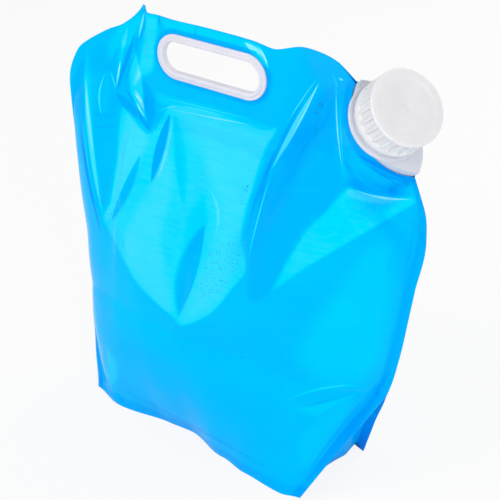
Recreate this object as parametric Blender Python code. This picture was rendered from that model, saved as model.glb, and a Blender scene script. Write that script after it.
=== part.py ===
"""A collapsible water carrier: a clear film pouch on a folded base, with a hand hole and a spout.

Two film panels are sealed together at the sides and across the header. A third panel, folded
inwards, closes the bottom, and its corners are left split, so that the pouch opens into a standing
base. A two-part snap ring lines the hand hole. A boat-shaped fitment is welded into the cut-off top
corner and carries the threaded neck and its cap.
"""

import math

import bmesh
import bpy
import numpy as np
from mathutils import Matrix, Vector

# All sizes are metres. +Z is up and the front faces -Y.
# The origin is on the floor under the middle of the pouch.

# The film pouch
BAG_WIDTH = 0.306
BAG_HEIGHT = 0.338
FILM = 0.0003
SEAL_GAP = 0.0003
SEAL_STRIP = 0.010
FRONT_DEPTH = 0.056
BACK_DEPTH = 0.047
SPLIT_OPENING = 0.0010
BASE_SAG_RUN = 0.014
BASE_TUCK = 0.006
LEG_SPREAD = 0.005
WING_CURL = 0.024
PEAK_CURL = 0.005
HEADER_CURL = 0.007

# The outline of the laid-out panels, as shares of the width and the height
left_edge_shares = (
    (-0.435, 0.0), (-0.476, 0.13), (-0.511, 0.27), (-0.504, 0.39), (-0.494, 0.58), (-0.476, 0.775),
)
right_edge_shares = (
    (0.314, 0.0), (0.376, 0.13), (0.445, 0.268), (0.471, 0.37), (0.487, 0.475), (0.501, 0.576),
    (0.508, 0.66), (0.510, 0.72), (0.496, 0.770),
)
top_edge_shares = (
    (-0.476, 0.775), (-0.466, 0.845), (-0.437, 0.905), (-0.412, 0.929), (-0.366, 0.956),
    (-0.338, 0.967), (-0.319, 0.979), (-0.3065, 0.991), (-0.298, 1.0015), (-0.283, 1.0163),
    (-0.2705, 1.0045), (-0.232, 1.004), (-0.178, 1.001), (-0.089, 1.001), (0.026, 0.998),
    (0.070, 0.994), (0.103, 0.988), (0.128, 0.992), (0.163, 1.0), (0.200, 1.004), (0.237, 1.004),
    (0.265, 1.001), (0.290, 0.993),
)
seam_start_share = 0.72

# How far the two lower edges stand out, as shares of the panel's own depth, from the left corner on
front_foot_shares = (
    (0.0, 0.46), (0.16, 0.64), (0.37, 0.53), (0.47, 0.50), (0.65, 0.70), (0.77, 0.80), (0.93, 0.86),
    (1.0, 0.78),
)
back_foot_shares = ((0.0, 0.60), (0.25, 0.86), (0.5, 0.94), (0.75, 0.92), (0.93, 0.83), (1.0, 0.72))

# Where the filled part ends below the header seal, as a share of the height, from the left side on
seal_line_shares = (
    (0.0, 0.93), (0.14, 0.93), (0.29, 0.80), (0.60, 0.80), (0.69, 0.93), (0.76, 1.06), (1.0, 1.06),
)
side_fullness_share = 0.7
top_fullness_share = 0.8

# Large soft folds of the front panel: start and end as shares of the width and height, then shares of
# the depth and the reach
FOLD_DEPTH = 0.006
FOLD_REACH = 0.020
front_fold_shares = (
    ((-0.33, 0.93), (-0.36, 0.62), -0.8, 0.7),
    ((0.20, 0.88), (0.02, 0.48), -1.0, 0.9),
    ((0.27, 0.86), (0.12, 0.50), 0.8, 0.9),
    ((0.44, 0.68), (0.02, 0.36), 0.8, 1.2),
    ((-0.06, 0.76), (-0.14, 0.50), -0.6, 0.8),
)

# The grid of the panels
COLUMNS = 28
LEG_ROWS = 7
UPPER_ROWS = 15
BASE_STEPS = 7
split_share = 0.348

# The spout fitment. Its place is measured from the pouch's right side and from its top.
SEAM_SETBACK = 0.029
SEAM_DROP = 0.038
SEAM_Y = -0.005
AXIS_RISE_DEG = 38.0
AXIS_TOE_DEG = 25.0
NECK_SHIFT = 0.0045
BOAT_LENGTH = 0.071
BOAT_THICKNESS = 0.040
BOAT_GAP = 0.0008
SEAM_OVERRUN = 0.0008
WELD_HEIGHT = 0.012
BOAT_RISE = 0.0055
BOAT_RIB = 0.0004
FLANGE_RADIUS = 0.0275
FLANGE_THICKNESS = 0.0025
FLANGE_FILLET = 0.0008
COLLAR_RADIUS = 0.0245
COLLAR_HEIGHT = 0.0042
NECK_RADIUS = 0.0200
BORE_RADIUS = 0.0172
NECK_HEIGHT = 0.0170
HOLD_RUN = 0.014
BLEND_RUN = 0.021

# The thread that the neck and the cap share
THREAD_PITCH = 0.005
THREAD_DEPTH = 0.0012
THREAD_PLAY = 0.0006
THREAD_LEAD_IN = 0.0035
THREAD_BITE = 0.0005
neck_thread_turns = 2.3
cap_thread_turns = 2.1
cap_thread_start_share = -0.4
thread_crest_share = 0.16
thread_root_share = 0.42
thread_fade_share = 0.12

# The cap and its seal
CAP_RADIUS = 0.026
CAP_FACE = 0.0032
CAP_EDGE = 0.0010
CAP_GAP = 0.0006
DISH_RADIUS = 0.0205
DISH_DEPTH = 0.0008
DIMPLE_RADIUS = 0.0028
DIMPLE_DEPTH = 0.0006
GRIP_COUNT = 24
GRIP_DEPTH = 0.0011
GRIP_LOW = 0.0050
GRIP_RIM = 0.0016
GRIP_RAMP = 0.0014
grip_width_share = 0.66
LINER_THICKNESS = 0.0014
FIT_GAP = 0.0003

# The snap ring of the hand hole
HOLE_LENGTH = 0.0865
HOLE_HEIGHT = 0.0232
RING_FACE = 0.0056
RING_THICKNESS = 0.0022
RING_STEP = 0.0006
RING_BEVEL = 0.0008
SLEEVE_WALL = 0.0020
SLEEVE_BEAD = 0.0003
FILM_HOLE_GAP = 0.0006
RING_X = -0.0218
RING_DROP = 0.0273
RING_TILT_DEG = -1.1
RING_HOLD_RUN = 0.010

# Facets round the turned pieces, and the overrun of every cut
TURNS = 48
THREAD_STEPS = 30
BOAT_STEPS = 12
BOAT_RIBS = 3
RING_STEPS = 9
CUT_OVERRUN = 0.004


# Clear the scene

for old in list(bpy.data.objects):
    bpy.data.objects.remove(old, do_unlink=True)


# Materials

def material(name, colour, roughness, transmission=0.0):
    """A Principled material in the piece's own colour."""
    made = bpy.data.materials.new(name)
    made.use_nodes = True
    shader = made.node_tree.nodes["Principled BSDF"]
    shader.inputs["Base Color"].default_value = (*colour, 1.0)
    shader.inputs["Roughness"].default_value = roughness
    shader.inputs["Metallic"].default_value = 0.0
    shader.inputs["Transmission Weight"].default_value = transmission
    made.diffuse_color = (*colour, 1.0)
    return made


FILM_BLUE = (0.0, 0.52, 1.0)
RING_WHITE = (0.74, 0.74, 0.82)
CAP_WHITE = (0.84, 0.84, 0.87)
CLEAR_WHITE = (0.68, 0.78, 0.88)
LINER_WHITE = (0.80, 0.80, 0.80)


# Curves that are read by a share of their length

def smooth_curve(points, steps=16):
    """A function from a share of the length, 0 to 1, to a point on the smooth curve through the points."""
    given = np.array(points, dtype=float)
    ends = np.vstack([2 * given[0] - given[1], given, 2 * given[-1] - given[-2]])
    dense = [given[0]]
    for index in range(1, len(ends) - 2):
        before, start, end, after = ends[index - 1:index + 3]
        for step in range(1, steps + 1):
            share = step / steps
            dense.append(0.5 * (
                2 * start
                + (end - before) * share
                + (2 * before - 5 * start + 4 * end - after) * share ** 2
                + (3 * start - before - 3 * end + after) * share ** 3
            ))
    dense = np.array(dense)
    reach = np.concatenate([[0.0], np.cumsum(np.linalg.norm(np.diff(dense, axis=0), axis=1))])
    reach /= reach[-1]
    return lambda share: np.array([np.interp(share, reach, dense[:, axis]) for axis in range(dense.shape[1])])


def ease(value):
    """A smooth step from 0 at 0 to 1 at 1."""
    held = np.clip(value, 0.0, 1.0)
    return held * held * (3 - 2 * held)


def table(shares, place):
    """The value at a place in a table of places and values, eased between its rows."""
    places = [row[0] for row in shares]
    values = [row[1] for row in shares]
    index = int(np.clip(np.searchsorted(places, place, side="right") - 1, 0, len(places) - 2))
    run = places[index + 1] - places[index]
    return values[index] + (values[index + 1] - values[index]) * float(ease((place - places[index]) / run))


# The spout's own directions: along its axis, along the seam it is welded into, and through its thickness

rise = math.radians(AXIS_RISE_DEG)
toe = math.radians(AXIS_TOE_DEG)
spout_axis = Vector((math.cos(rise) * math.cos(toe), -math.cos(rise) * math.sin(toe), math.sin(rise)))
across = Vector((spout_axis.z, 0.0, -spout_axis.x)).normalized()
seam_axis = (across - across.dot(spout_axis) * spout_axis).normalized()
through_axis = spout_axis.cross(seam_axis).normalized()
seam_centre = Vector((BAG_WIDTH / 2 - SEAM_SETBACK, SEAM_Y, BAG_HEIGHT - SEAM_DROP))
seam_half = BOAT_LENGTH / 2 + SEAM_OVERRUN
boat_frame = Matrix((
    (seam_axis.x, through_axis.x, spout_axis.x, seam_centre.x),
    (seam_axis.y, through_axis.y, spout_axis.y, seam_centre.y),
    (seam_axis.z, through_axis.z, spout_axis.z, seam_centre.z),
    (0.0, 0.0, 0.0, 1.0),
))
neck_frame = boat_frame @ Matrix.Translation((-NECK_SHIFT, 0.0, 0.0))


# The laid-out panel: its outline, and where each point of it lies in space

def outline_curve(shares, last=None):
    points = [(x * BAG_WIDTH, z * BAG_HEIGHT) for x, z in shares]
    if last is not None:
        points.append(last)
    return smooth_curve(points)


seam_high = seam_centre - seam_half * seam_axis
seam_low = seam_centre + seam_half * seam_axis
left_edge = outline_curve(left_edge_shares)
right_edge = outline_curve(right_edge_shares, (seam_low.x, seam_low.z))
header_edge = outline_curve(top_edge_shares, (seam_high.x, seam_high.z))


def bottom_edge(share):
    return left_edge(0.0) + (right_edge(0.0) - left_edge(0.0)) * share


def top_edge(share):
    """The header from the left shoulder to the spout, then straight along the spout's seam."""
    if share <= seam_start_share:
        return header_edge(share / seam_start_share)
    run = (share - seam_start_share) / (1.0 - seam_start_share)
    place = seam_high.lerp(seam_low, run)
    return np.array([place.x, place.z])


def laid_out(s, t):
    """The panel's point at s across and t up, blended between its four edges."""
    corners = (
        (1 - s) * (1 - t) * bottom_edge(0.0) + s * (1 - t) * bottom_edge(1.0)
        + (1 - s) * t * top_edge(0.0) + s * t * top_edge(1.0)
    )
    return (1 - t) * bottom_edge(s) + t * top_edge(s) + (1 - s) * left_edge(t) + s * right_edge(t) - corners


def spout_plane(x, z):
    """The flat surface through the spout's seam and axis, at x and z."""
    slide = through_axis.x * (x - seam_centre.x) + through_axis.z * (z - seam_centre.z)
    return seam_centre.y - slide / through_axis.y


def from_seam(x, z):
    """How far a point lies along the seam, and how far in from it."""
    offset = Vector((x, spout_plane(x, z), z)) - seam_centre
    return offset.dot(seam_axis), -offset.dot(spout_axis)


wing_start_share = -0.285
wing_run_share = 0.19
wing_low_share = 0.27
peak_place_share = -0.292
peak_width_share = 0.036
curl_place_share = 0.215
curl_width_share = 0.115
curl_low_share = 0.66
peak_low_share = 0.86


def bell(share, place_share, width_share):
    """1 at a place, falling smoothly to 0 on both sides of it."""
    reach = min(1.0, abs(share - place_share) / width_share)
    return (1 + math.cos(math.pi * reach)) / 2


def risen(up_share, low_share):
    """0 up to a height, rising smoothly to 1 at the top."""
    return float(ease((up_share - low_share) / (1 - low_share)))


def ring_offset(x, z):
    """How far a point lies outside the edge of the hand hole."""
    tilt = math.radians(RING_TILT_DEG)
    across, above = x - RING_X, z - (BAG_HEIGHT - RING_DROP)
    along = across * math.cos(tilt) + above * math.sin(tilt)
    beyond = max(0.0, abs(along) - (HOLE_LENGTH - HOLE_HEIGHT) / 2)
    return math.hypot(beyond, above * math.cos(tilt) - across * math.sin(tilt)) - HOLE_HEIGHT / 2


def ring_hold(x, z):
    """1 under the ring, where both panels lie flat against each other, falling to 0 outside it."""
    return float(ease(1 - (ring_offset(x, z) - RING_FACE - FIT_GAP) / RING_HOLD_RUN))


def middle(x, z):
    """The Y of the surface where both panels meet: flat round the hand hole, curled at the corners."""
    across_share = x / BAG_WIDTH
    up_share = z / BAG_HEIGHT
    wing = ease((wing_start_share - across_share) / wing_run_share) * risen(up_share, wing_low_share)
    peak = bell(across_share, peak_place_share, peak_width_share) * risen(up_share, peak_low_share)
    curl = bell(across_share, curl_place_share, curl_width_share) * risen(up_share, curl_low_share)
    free = -WING_CURL * wing + PEAK_CURL * peak + HEADER_CURL * curl
    _, inwards = from_seam(x, z)
    held = 1 - float(ease((inwards - WELD_HEIGHT - HOLD_RUN) / BLEND_RUN))
    return (1 - ring_hold(x, z)) * (held * spout_plane(x, z) + (1 - held) * free)


def middle_normal(x, z):
    """The direction from the front panel to the back one at a point of the surface where they meet."""
    step = FILM
    slope_x = (middle(x + step, z) - middle(x - step, z)) / (2 * step)
    slope_z = (middle(x, z + step) - middle(x, z - step)) / (2 * step)
    return Vector((-slope_x, 1.0, -slope_z)).normalized()


# How far each panel stands off that surface

lens_radius = ((BOAT_LENGTH / 2) ** 2 + (BOAT_THICKNESS / 2) ** 2) / BOAT_THICKNESS


def boat_half(along):
    """Half the boat's thickness at a distance along the seam."""
    held = min(abs(along), BOAT_LENGTH / 2)
    return math.sqrt(lens_radius ** 2 - held ** 2) - (lens_radius - BOAT_THICKNESS / 2)


strip_across_share = SEAL_STRIP / BAG_WIDTH
strip_up_share = SEAL_STRIP / BAG_HEIGHT


def fullness(s, t):
    """The share of its depth that a panel bulges at a point, above the split of the lower corners."""
    inner = np.clip((s - strip_across_share) / (1 - 2 * strip_across_share), 0.0, 1.0)
    sides = (4 * inner * (1 - inner)) ** side_fullness_share
    seal_line = table(seal_line_shares, s)
    up = np.clip((t - split_share) / (seal_line - split_share), 0.0, 1.0)
    return float(sides * (1 - up * up) ** top_fullness_share)


def standing_out(s, t, depth, foot_shares):
    """The panel's distance from the middle surface: the bulge above, and the spread legs and foot below."""
    if t >= split_share:
        return depth * fullness(s, t)
    lift = t / split_share
    foot = depth * table(foot_shares, s)
    return foot * (1 - lift) + depth * fullness(s, split_share) * math.sin(math.pi / 2 * lift)


def fold_offset(x, z):
    """The depth of the large folds of the front panel at a point."""
    total = 0.0
    for start, end, depth_share, reach_share in front_fold_shares:
        first = np.array(start) * (BAG_WIDTH, BAG_HEIGHT)
        run = np.array(end) * (BAG_WIDTH, BAG_HEIGHT) - first
        place = np.array([x, z]) - first
        share = float(place @ run / (run @ run))
        side = float(abs(place[0] * run[1] - place[1] * run[0]) / np.linalg.norm(run))
        taper = float(ease(share * 4) * ease((1 - share) * 3))
        total += FOLD_DEPTH * depth_share * taper * math.exp(-(side / (FOLD_REACH * reach_share)) ** 2)
    return total


def stand_off(s, t, x, z, front):
    """The distance of a panel's inner face from the middle surface, less half the seal gap."""
    depth, foot_shares = (FRONT_DEPTH, front_foot_shares) if front else (BACK_DEPTH, back_foot_shares)
    bulge = standing_out(s, t, depth, foot_shares)
    if front:
        bulge += fold_offset(x, z) * min(1.0, bulge / FOLD_REACH)
    along, inwards = from_seam(x, z)
    hold = float(ease((WELD_HEIGHT + HOLD_RUN + BLEND_RUN - inwards) / BLEND_RUN))
    hold *= float(ease((seam_half + HOLD_RUN - abs(along)) / HOLD_RUN))
    bulge += hold * (boat_half(along) + BOAT_GAP - bulge)
    bulge *= 1 - ring_hold(x, z)
    in_strip = min(s, 1 - s) <= strip_across_share
    if in_strip and abs(t - split_share) < strip_up_share / 2:
        return SPLIT_OPENING
    if (in_strip and t > split_share or t >= 1.0) and abs(along) > seam_half:
        return 0.0
    return max(bulge, 0.0)


def panel_point(s, t, front, inset=0.0):
    """A point of a panel's inner face, or a distance inset from it towards the middle."""
    x, z = laid_out(s, t)
    side = -1.0 if front else 1.0
    off = stand_off(s, t, x, z, front) + SEAL_GAP / 2 - inset
    place = Vector((x, middle(x, z), z)) + side * off * middle_normal(x, z)
    spread = max(0.0, 1 - t / split_share) * s
    place.x += side * LEG_SPREAD * spread
    return place


# The grid that both panels and the base share, so that their seals lie flat on each other

column_shares = [0.0] + [
    strip_across_share + (1 - 2 * strip_across_share) * step / (COLUMNS - 2) for step in range(COLUMNS - 1)
] + [1.0]
row_shares = [0.0] + [
    strip_up_share + (split_share - strip_up_share) * step / LEG_ROWS for step in range(LEG_ROWS + 1)
] + [
    split_share + (1 - split_share) * step / UPPER_ROWS for step in range(1, UPPER_ROWS + 1)
]
split_row = LEG_ROWS + 1


def cell(corner_of, column, row):
    """The two triangles of one cell of the grid."""
    low, right = corner_of(column, row), corner_of(column + 1, row)
    left, high = corner_of(column, row + 1), corner_of(column + 1, row + 1)
    return [(low, right, high), (low, high, left)]


# Objects

def finish_object(name, mesh, finish, place=None, parent=None):
    """Link a mesh as a named sub-part with its material, shaded smooth."""
    made = bpy.data.objects.new(name, mesh)
    bpy.context.scene.collection.objects.link(made)
    mesh.materials.append(finish)
    mesh.shade_smooth()
    mesh.set_sharp_from_angle(angle=math.radians(35))
    if parent is not None:
        made.parent = parent
    elif place is not None:
        made.matrix_world = place
    return made


def mesh_of(name, points, faces, outwards=True):
    """A mesh from points and faces, with its normals made consistent."""
    mesh = bpy.data.meshes.new(name)
    mesh.from_pydata([tuple(point) for point in points], [], faces)
    if outwards:
        work = bmesh.new()
        work.from_mesh(mesh)
        bmesh.ops.recalc_face_normals(work, faces=work.faces)
        work.to_mesh(mesh)
        work.free()
    mesh.update()
    return mesh


def hide_tool(tool):
    """Mark an object as a cutter or a tool body that isn't a sub-part."""
    tool.hide_render = True
    tool.display_type = "WIRE"


def boolean(target, tool, operation):
    modifier = target.modifiers.new(tool.name, "BOOLEAN")
    modifier.operation = operation
    modifier.solver = "EXACT"
    modifier.object = tool
    hide_tool(tool)


def solidify(target, offset):
    modifier = target.modifiers.new("Film thickness", "SOLIDIFY")
    modifier.thickness = FILM
    modifier.offset = offset


def turned(profile, steps=TURNS):
    """Points and faces of a profile of radius and height turned round Z. A radius of zero is a pole."""
    points = []
    rings = []
    for radius, height in profile:
        if radius == 0:
            points.append((0.0, 0.0, height))
            rings.append([len(points) - 1] * steps)
            continue
        rings.append(range(len(points), len(points) + steps))
        for step in range(steps):
            angle = 2 * math.pi * step / steps
            points.append((radius * math.cos(angle), radius * math.sin(angle), height))
    faces = []
    for first, second in zip(rings, rings[1:]):
        for step in range(steps):
            after = (step + 1) % steps
            corners = (first[step], first[after], second[after], second[step])
            faces.append(tuple(dict.fromkeys(corners)))
    return points, faces


# The film

def panel(name, front, finish):
    """One film panel: its inner face on the grid, thickened outwards."""
    points = [panel_point(s, t, front) for t in row_shares for s in column_shares]
    count = len(column_shares)
    faces = []
    for row in range(len(row_shares) - 1):
        for column in range(count - 1):
            faces += cell(lambda i, j: j * count + i, column, row)
    if not front:
        faces = [tuple(reversed(face)) for face in faces]
    made = finish_object(name, mesh_of(name, points, faces, outwards=False), finish)
    solidify(made, 1.0)
    boolean(made, hand_hole_cutter, "DIFFERENCE")
    return made


def ring_path(offset):
    """The stadium round the hand hole, a distance outside its edge, tilted with the header."""
    straight = (HOLE_LENGTH - HOLE_HEIGHT) / 2
    radius = HOLE_HEIGHT / 2 + offset
    tilt = math.radians(RING_TILT_DEG)
    ring_z = BAG_HEIGHT - RING_DROP
    path = []
    for side in (0, 1):
        for step in range(RING_STEPS + 1):
            angle = math.pi * (step / RING_STEPS + side - 0.5)
            along = straight * (1 - 2 * side) + radius * math.cos(angle)
            above = radius * math.sin(angle)
            path.append((
                RING_X + along * math.cos(tilt) - above * math.sin(tilt),
                ring_z + along * math.sin(tilt) + above * math.cos(tilt),
            ))
    return path


def stadium_body(name, profile):
    """A profile of offset and Y carried round the hand hole, closed on itself."""
    loops = [[(x, y, z) for x, z in ring_path(offset)] for offset, y in profile]
    count = len(loops[0])
    points = [point for loop in loops for point in loop]
    faces = []
    for index in range(len(loops)):
        first = index * count
        second = (index + 1) % len(loops) * count
        for step in range(count):
            after = (step + 1) % count
            faces.append((first + step, first + after, second + after, second + step))
    return mesh_of(name, points, faces)


def make_hand_hole_cutter():
    """The stadium that is punched out of both panels, a little wider than the ring's sleeve."""
    outline = ring_path(SLEEVE_WALL + SLEEVE_BEAD + FILM_HOLE_GAP)
    count = len(outline)
    points = [(x, y, z) for y in (-CUT_OVERRUN, CUT_OVERRUN) for x, z in outline]
    faces = [tuple(range(count)), tuple(range(2 * count - 1, count - 1, -1))]
    faces += [(step, (step + 1) % count, count + (step + 1) % count, count + step) for step in range(count)]
    made = bpy.data.objects.new("hand_hole_cutter", mesh_of("hand_hole_cutter", points, faces))
    bpy.context.scene.collection.objects.link(made)
    hide_tool(made)
    return made


class Points:
    """Points numbered by a name, so that neighbouring faces share them."""

    def __init__(self):
        self.numbers = {}
        self.places = []

    def number(self, key, place):
        if key not in self.numbers:
            self.numbers[key] = len(self.places)
            self.places.append(place())
        return self.numbers[key]


def base_strip(points, front):
    """The seal strip of the base along one panel's legs and foot."""
    inset = SEAL_GAP + FILM / 2

    def corner(column, row):
        s, t = column_shares[column], row_shares[row]
        return points.number((front, column, row), lambda: panel_point(s, t, front, inset))

    last = len(column_shares) - 2
    faces = []
    for row in range(split_row):
        faces += cell(corner, 0, row) + cell(corner, last, row)
    for column in range(1, last):
        faces += cell(corner, column, 0)
    return faces


def inner_rim():
    """The grid corners along the strip's inner line: down the left leg, along the foot, up the right leg."""
    last = len(column_shares) - 2
    down = [(1, row) for row in range(split_row, 0, -1)]
    along = [(column, 1) for column in range(2, last)]
    up = [(last, row) for row in range(1, split_row + 1)]
    return down + along + up


longest_sag_share = 0.3
full_sag_runs = 3
tuck_reach_share = 0.15


def base_tuck(s):
    """How far the base draws inwards, towards the middle of its width, half way between the legs."""
    from_end = min(s, 1 - s) - strip_across_share
    return BASE_TUCK * float(ease(1 - from_end / tuck_reach_share)) * (1 if s < 1 - s else -1)


def base_section(front_place, back_place, flat, tuck):
    """Points from one strip to the other: down to the floor, across it, and up again."""
    span = (back_place - front_place).length
    run = min(longest_sag_share, BASE_SAG_RUN / span)
    narrow = min(1.0, span / (full_sag_runs * BASE_SAG_RUN))
    drop = front_place.z - FILM / 2 if flat else (SEAL_STRIP - FILM / 2) * narrow
    flat_run = (1 - 2 * run) / (BASE_STEPS - 2)
    shares = [run / 2, run] + [run + flat_run * step for step in range(1, BASE_STEPS - 2)]
    shares += [1 - run, 1 - run / 2]
    section = []
    for share in shares:
        place = front_place.lerp(back_place, share)
        place.z -= drop * float(ease(min(share, 1 - share) / run))
        place.x += tuck * narrow * 4 * share * (1 - share)
        section.append(place)
    return section


def make_base(finish):
    """The bottom panel: strips sealed inside both panels, a floor between them, and sloping ends."""
    points = Points()
    faces = base_strip(points, True) + base_strip(points, False)
    rows = []
    for column, row in inner_rim():
        front_number = points.numbers[(True, column, row)]
        back_number = points.numbers[(False, column, row)]
        ends = points.places[front_number], points.places[back_number]
        section = base_section(*ends, row == 1, base_tuck(column_shares[column]))
        middle_numbers = [
            points.number(("floor", column, row, step), lambda place=place: place)
            for step, place in enumerate(section)
        ]
        rows.append([front_number, *middle_numbers, back_number])
    for first, second in zip(rows, rows[1:]):
        for step in range(len(first) - 1):
            faces.append((first[step], second[step], second[step + 1]))
            faces.append((first[step], second[step + 1], first[step + 1]))
    made = finish_object("bottom_gusset", mesh_of("bottom_gusset", points.places, faces), finish)
    solidify(made, 0.0)
    return made


# The handle's two snap halves

film_outside = SEAL_GAP / 2 + FILM
ring_seat = film_outside + FIT_GAP
ring_outside = ring_seat + RING_THICKNESS
sleeve_end = ring_outside - RING_STEP
bead_low = sleeve_end - 2 * SLEEVE_BEAD - RING_STEP
face_step_share = 0.55


def make_front_ring(finish):
    """The front half: a stepped face, and the sleeve that goes through the film and snaps into the back half."""
    step_place = RING_FACE * face_step_share
    profile = [
        (0.0, sleeve_end),
        (0.0, -ring_outside + RING_BEVEL),
        (RING_BEVEL, -ring_outside),
        (step_place, -ring_outside),
        (step_place + RING_STEP, -ring_outside + RING_STEP),
        (RING_FACE - RING_BEVEL, -ring_outside + RING_STEP),
        (RING_FACE, -ring_outside + RING_STEP + RING_BEVEL),
        (RING_FACE, -ring_seat),
        (SLEEVE_WALL, -ring_seat),
        (SLEEVE_WALL, bead_low),
        (SLEEVE_WALL + SLEEVE_BEAD, bead_low + SLEEVE_BEAD),
        (SLEEVE_WALL, sleeve_end),
    ]
    return finish_object("handle_ring_front", stadium_body("handle_ring_front", profile), finish)


def make_back_ring(finish):
    """The back half: it sits round the sleeve, with a groove for the snap bead."""
    bore = SLEEVE_WALL + FIT_GAP
    groove = bead_low + SLEEVE_BEAD
    profile = [
        (bore, ring_seat),
        (RING_FACE, ring_seat),
        (RING_FACE, ring_outside - RING_BEVEL),
        (RING_FACE - RING_BEVEL, ring_outside),
        (bore, ring_outside),
        (bore, groove + 2 * SLEEVE_BEAD),
        (bore + SLEEVE_BEAD, groove + SLEEVE_BEAD / 2),
        (bore + SLEEVE_BEAD, groove - SLEEVE_BEAD / 2),
        (bore, groove - 2 * SLEEVE_BEAD),
    ]
    return finish_object("handle_ring_back", stadium_body("handle_ring_back", profile), finish)


# The spout: X along the seam and Z out along the axis, in the boat's frame and in the neck's

flange_low = BOAT_RISE
flange_high = flange_low + FLANGE_THICKNESS
collar_high = flange_high + COLLAR_HEIGHT
neck_high = collar_high + NECK_HEIGHT
thread_start = collar_high + THREAD_LEAD_IN
cap_low = collar_high + CAP_GAP
liner_low = neck_high + FIT_GAP
cap_ceiling = liner_low + LINER_THICKNESS + FIT_GAP
cap_high = cap_ceiling + CAP_FACE
cap_bore = NECK_RADIUS + THREAD_DEPTH + THREAD_PLAY


def thread_ridge(name, wall, inwards, start_turn, turns, lift=0.0):
    """One helical ridge of trapezoid section, bitten into its wall and faded out at both ends."""
    count = int(round(turns * THREAD_STEPS))
    side = -1.0 if inwards else 1.0
    half_crest = THREAD_PITCH * thread_crest_share / 2
    half_root = THREAD_PITCH * thread_root_share / 2
    points = []
    for step in range(count + 1):
        turn = start_turn + turns * step / count
        fade = float(ease(min(step, count - step) / (count * thread_fade_share)))
        crest = wall + side * THREAD_DEPTH * fade
        root = wall - side * THREAD_BITE
        height = thread_start + THREAD_PITCH * turn + lift
        angle = 2 * math.pi * turn
        section = ((root, -half_root), (crest, -half_crest), (crest, half_crest), (root, half_root))
        for radius, rise_off in section:
            points.append((radius * math.cos(angle), radius * math.sin(angle), height + rise_off))
    faces = [(3, 2, 1, 0), tuple(4 * count + corner for corner in range(4))]
    for step in range(count):
        for corner in range(4):
            after = (corner + 1) % 4
            low, high = 4 * step, 4 * step + 4
            faces.append((low + corner, low + after, high + after, high + corner))
    made = bpy.data.objects.new(name, mesh_of(name, points, faces))
    bpy.context.scene.collection.objects.link(made)
    return made


def boat_outline(shrink):
    """The lens shape of the boat, round from one tip to the other and back, drawn in by a distance."""
    outline = []
    for side in (1, -1):
        for step in range(BOAT_STEPS):
            along = BOAT_LENGTH * (step / BOAT_STEPS - 0.5) * side
            half = max(0.0, boat_half(along) - shrink)
            tip = BOAT_LENGTH / 2 - shrink
            outline.append((max(-tip, min(tip, along)), side * half))
    return outline


def make_boat():
    """The boat: a lens-shaped block with shallow weld ribs along its sides."""
    levels = [(-WELD_HEIGHT, BOAT_RIB)]
    rib = WELD_HEIGHT / (2 * BOAT_RIBS)
    for index in range(BOAT_RIBS):
        low = -WELD_HEIGHT + 2 * rib * index
        levels += [(low + rib / 2, 0.0), (low + rib * 1.5, 0.0), (low + rib * 2, BOAT_RIB)]
    levels += [(flange_low / 2, 0.0), (flange_low + FLANGE_THICKNESS / 2, 0.0)]
    count = 2 * BOAT_STEPS
    points = [(x, y, height) for height, shrink in levels for x, y in boat_outline(shrink)]
    faces = [tuple(range(count)), tuple((len(levels) - 1) * count + step for step in range(count))]
    for level in range(len(levels) - 1):
        for step in range(count):
            after = (step + 1) % count
            low, high = level * count, (level + 1) * count
            faces.append((low + step, low + after, high + after, high + step))
    made = bpy.data.objects.new("boat_body", mesh_of("boat_body", points, faces))
    bpy.context.scene.collection.objects.link(made)
    return made


def cylinder(name, radius, low, high):
    points, faces = turned([(0, low), (radius, low), (radius, high), (0, high)])
    made = bpy.data.objects.new(name, mesh_of(name, points, faces))
    bpy.context.scene.collection.objects.link(made)
    return made


def make_spout(finish):
    """The fitment: boat, flange, collar and threaded neck in one moulding, bored right through."""
    core_low = flange_low - THREAD_BITE
    profile = [
        (0, core_low),
        (BORE_RADIUS, core_low),
        (FLANGE_RADIUS - FLANGE_FILLET, flange_low),
        (FLANGE_RADIUS, flange_low + FLANGE_FILLET),
        (FLANGE_RADIUS, flange_high - FLANGE_FILLET),
        (FLANGE_RADIUS - FLANGE_FILLET, flange_high),
        (COLLAR_RADIUS, flange_high),
        (COLLAR_RADIUS, collar_high - FLANGE_FILLET),
        (COLLAR_RADIUS - FLANGE_FILLET, collar_high),
        (NECK_RADIUS, collar_high),
        (NECK_RADIUS, neck_high - FLANGE_FILLET),
        (NECK_RADIUS - FLANGE_FILLET, neck_high),
        (0, neck_high),
    ]
    points, faces = turned(profile)
    made = finish_object("spout", mesh_of("spout", points, faces), finish, neck_frame)
    ridge = thread_ridge("neck_thread", NECK_RADIUS, False, 0.0, neck_thread_turns)
    bore = cylinder("bore_cutter", BORE_RADIUS, -WELD_HEIGHT - CUT_OVERRUN, neck_high + CUT_OVERRUN)
    boat = make_boat()
    for tool, frame, operation in (
        (boat, boat_frame, "UNION"),
        (ridge, neck_frame, "UNION"),
        (bore, neck_frame, "DIFFERENCE"),
    ):
        tool.matrix_world = frame
        boolean(made, tool, operation)
    return made


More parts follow.
